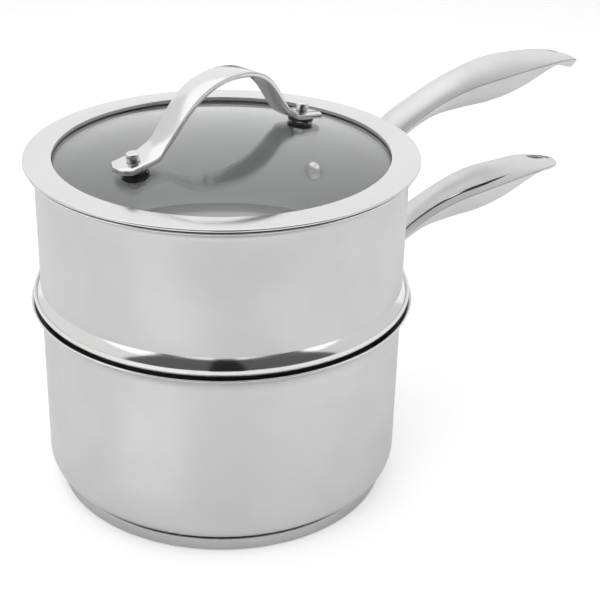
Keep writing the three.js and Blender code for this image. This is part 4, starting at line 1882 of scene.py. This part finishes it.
@dataclass(frozen=True)
class Studio:
    """A white room with soft lamps and the photograph's camera."""

    camera_place: tuple[float, float, float] = (-454.5, -515.5, 446.8)
    camera_turn: tuple[float, float, float] = (63.44, 0, -41.4)
    lens: float = 82
    shift: float = 0.131
    aim: tuple[float, float, float] = (60, 0, 110)
    floor_size: float = 30000
    floor_drop: float = 0.2
    floor_tone: float = 0.86
    floor_roughness: float = 0.9
    floor_fade: Point = (1100, 2600)
    ambient: float = 0.4
    floor_glow: float = 0.38
    floor_mirror: float = 0.3
    lamps: tuple[Lamp, ...] = (
        Lamp("key_softbox", (-900, -300, 1300), (1500, 1500), 10),
        Lamp("fill_softbox", (700, -900, 900), (1200, 1000), 4),
        Lamp("top_softbox", (150, 500, 1400), (1400, 1200), 6),
    )
    cards: tuple[Card, ...] = (
        Card("pale_floor_strip", 1.0, 196, 16, (150, 1), (900, 1)),
        Card("dark_floor_strip", 0.02, 232, 10, (800, 2), (2500, 2)),
        Card("dark_screen", 0.02, 232, 10, (2500, 2), (2500, 5400)),
        Card("dim_screen", 0.11, 234, 60, (2800, 1), (2800, 5400)),
        Card("left_screen", 0.8, 134, 40, (3000, 1), (3000, 3000)),
        Card("right_screen", 0.7, 326, 32, (3000, 1), (3000, 3400)),
        Card("bright_ceiling", 1.25, 54, 118, (1, 2600), (2600, 2600)),
    )

    def build(self) -> None:
        """Sets up the room, the lamps and the camera."""
        self.room()
        self.floor()
        for lamp in self.lamps:
            self.hang(lamp)
        for card in self.cards:
            card.build()
        self.camera()

    @staticmethod
    def seen(layout: Shader, mirrored: float = 1) -> bpy.types.NodeSocket:
        """Adds a mask of the rays that see the background itself.

        Args:
            layout: The node tree.
            mirrored: The mask's value for mirror rays.

        Returns:
            The mask, which is 1 for camera and glass rays.
        """
        path = layout.add("ShaderNodeLightPath")
        mirror = layout.sums("MULTIPLY", path.outputs["Is Glossy Ray"], mirrored)
        direct = layout.sums("ADD", path.outputs["Is Camera Ray"], mirror)
        either = layout.sums("ADD", direct, path.outputs["Is Transmission Ray"])
        return layout.sums("MINIMUM", either, 1.0)

    def room(self) -> None:
        """Makes the world white where it is seen and softer where it lights."""
        world = bpy.data.worlds.new("white_room")
        world.use_nodes = True
        bpy.context.scene.world = world
        layout = Shader(world.node_tree)
        glow = world.node_tree.nodes["Background"]
        glow.inputs["Color"].default_value = grey(1)
        layout.join(layout.spread(self.seen(layout), (self.ambient, 1)), glow.inputs["Strength"])

    def far(self, layout: Shader) -> bpy.types.NodeSocket:
        """Adds a mask of the floor's distance from the object.

        Args:
            layout: The node tree.

        Returns:
            The mask, from 0 round the object to 1 far away.
        """
        place = layout.add("ShaderNodeTexCoord")
        length = layout.add("ShaderNodeVectorMath", operation="LENGTH")
        layout.join(place.outputs["Object"], length.inputs[0])
        fade = layout.add("ShaderNodeMapRange", interpolation_type="SMOOTHSTEP")
        for name, reach in zip(("From Min", "From Max"), self.floor_fade):
            fade.inputs[name].default_value = reach * MM
        layout.join(length.outputs["Value"], fade.inputs["Value"])
        return fade.outputs["Result"]

    def floor(self) -> None:
        """Lays a pale floor that keeps the object's shadow and turns white far from it."""
        Bench.clear()
        place = Vector((0, 0, -self.floor_drop)) * MM
        bpy.ops.mesh.primitive_plane_add(size=self.floor_size * MM, location=place)
        floor = bpy.context.object
        floor.name = "pale_floor"
        paint = Paint("pale_floor_paint")
        paint.put({"Roughness": self.floor_roughness, "Specular IOR Level": 0, "Emission Color": grey(1)})
        far = self.far(paint)
        paint.join(paint.blend(far, (grey(self.floor_tone), grey(0))), paint.main.inputs["Base Color"])
        strength = paint.spread(far, (self.floor_glow, 1))
        glow = paint.sums("MULTIPLY", self.seen(paint, self.floor_mirror), strength)
        paint.join(glow, paint.main.inputs["Emission Strength"])
        floor.data.materials.append(paint.material)

    def hang(self, lamp: Lamp) -> None:
        """Hangs one soft lamp.

        Args:
            lamp: The lamp.
        """
        data = bpy.data.lights.new(lamp.name, "AREA")
        data.shape = "RECTANGLE"
        data.size, data.size_y = (side * MM for side in lamp.size)
        data.energy = lamp.power
        holder = bpy.data.objects.new(lamp.name, data)
        bpy.context.scene.collection.objects.link(holder)
        place = Vector(lamp.place) * MM
        holder.location = place
        holder.rotation_euler = (Vector(self.aim) * MM - place).to_track_quat("-Z", "Y").to_euler()
        hide_from(holder, "glossy", "transmission")

    def camera(self) -> None:
        """Stands the camera where the photograph was taken from."""
        data = bpy.data.cameras.new("photo_camera")
        data.lens = self.lens
        data.shift_x = self.shift
        holder = bpy.data.objects.new("photo_camera", data)
        holder.location = Vector(self.camera_place) * MM
        holder.rotation_euler = tuple(math.radians(turn) for turn in self.camera_turn)
        bpy.context.scene.collection.objects.link(holder)
        bpy.context.scene.camera = holder
        bpy.context.scene.view_settings.view_transform = "Standard"


def main() -> None:
    """Builds the sub-assemblies in order, then the studio."""
    logging.basicConfig(level=logging.INFO)
    finisher = Finisher()
    saucepan = Saucepan()
    insert = SteamerInsert()
    saucepan.build(finisher)
    insert.build(finisher, saucepan)
    for wall in (saucepan.handle_wall, insert.handle_wall):
        WallMount().build(finisher, wall)
    Lid().build(finisher)
    Studio().build()


if __name__ == "__main__":
    main()
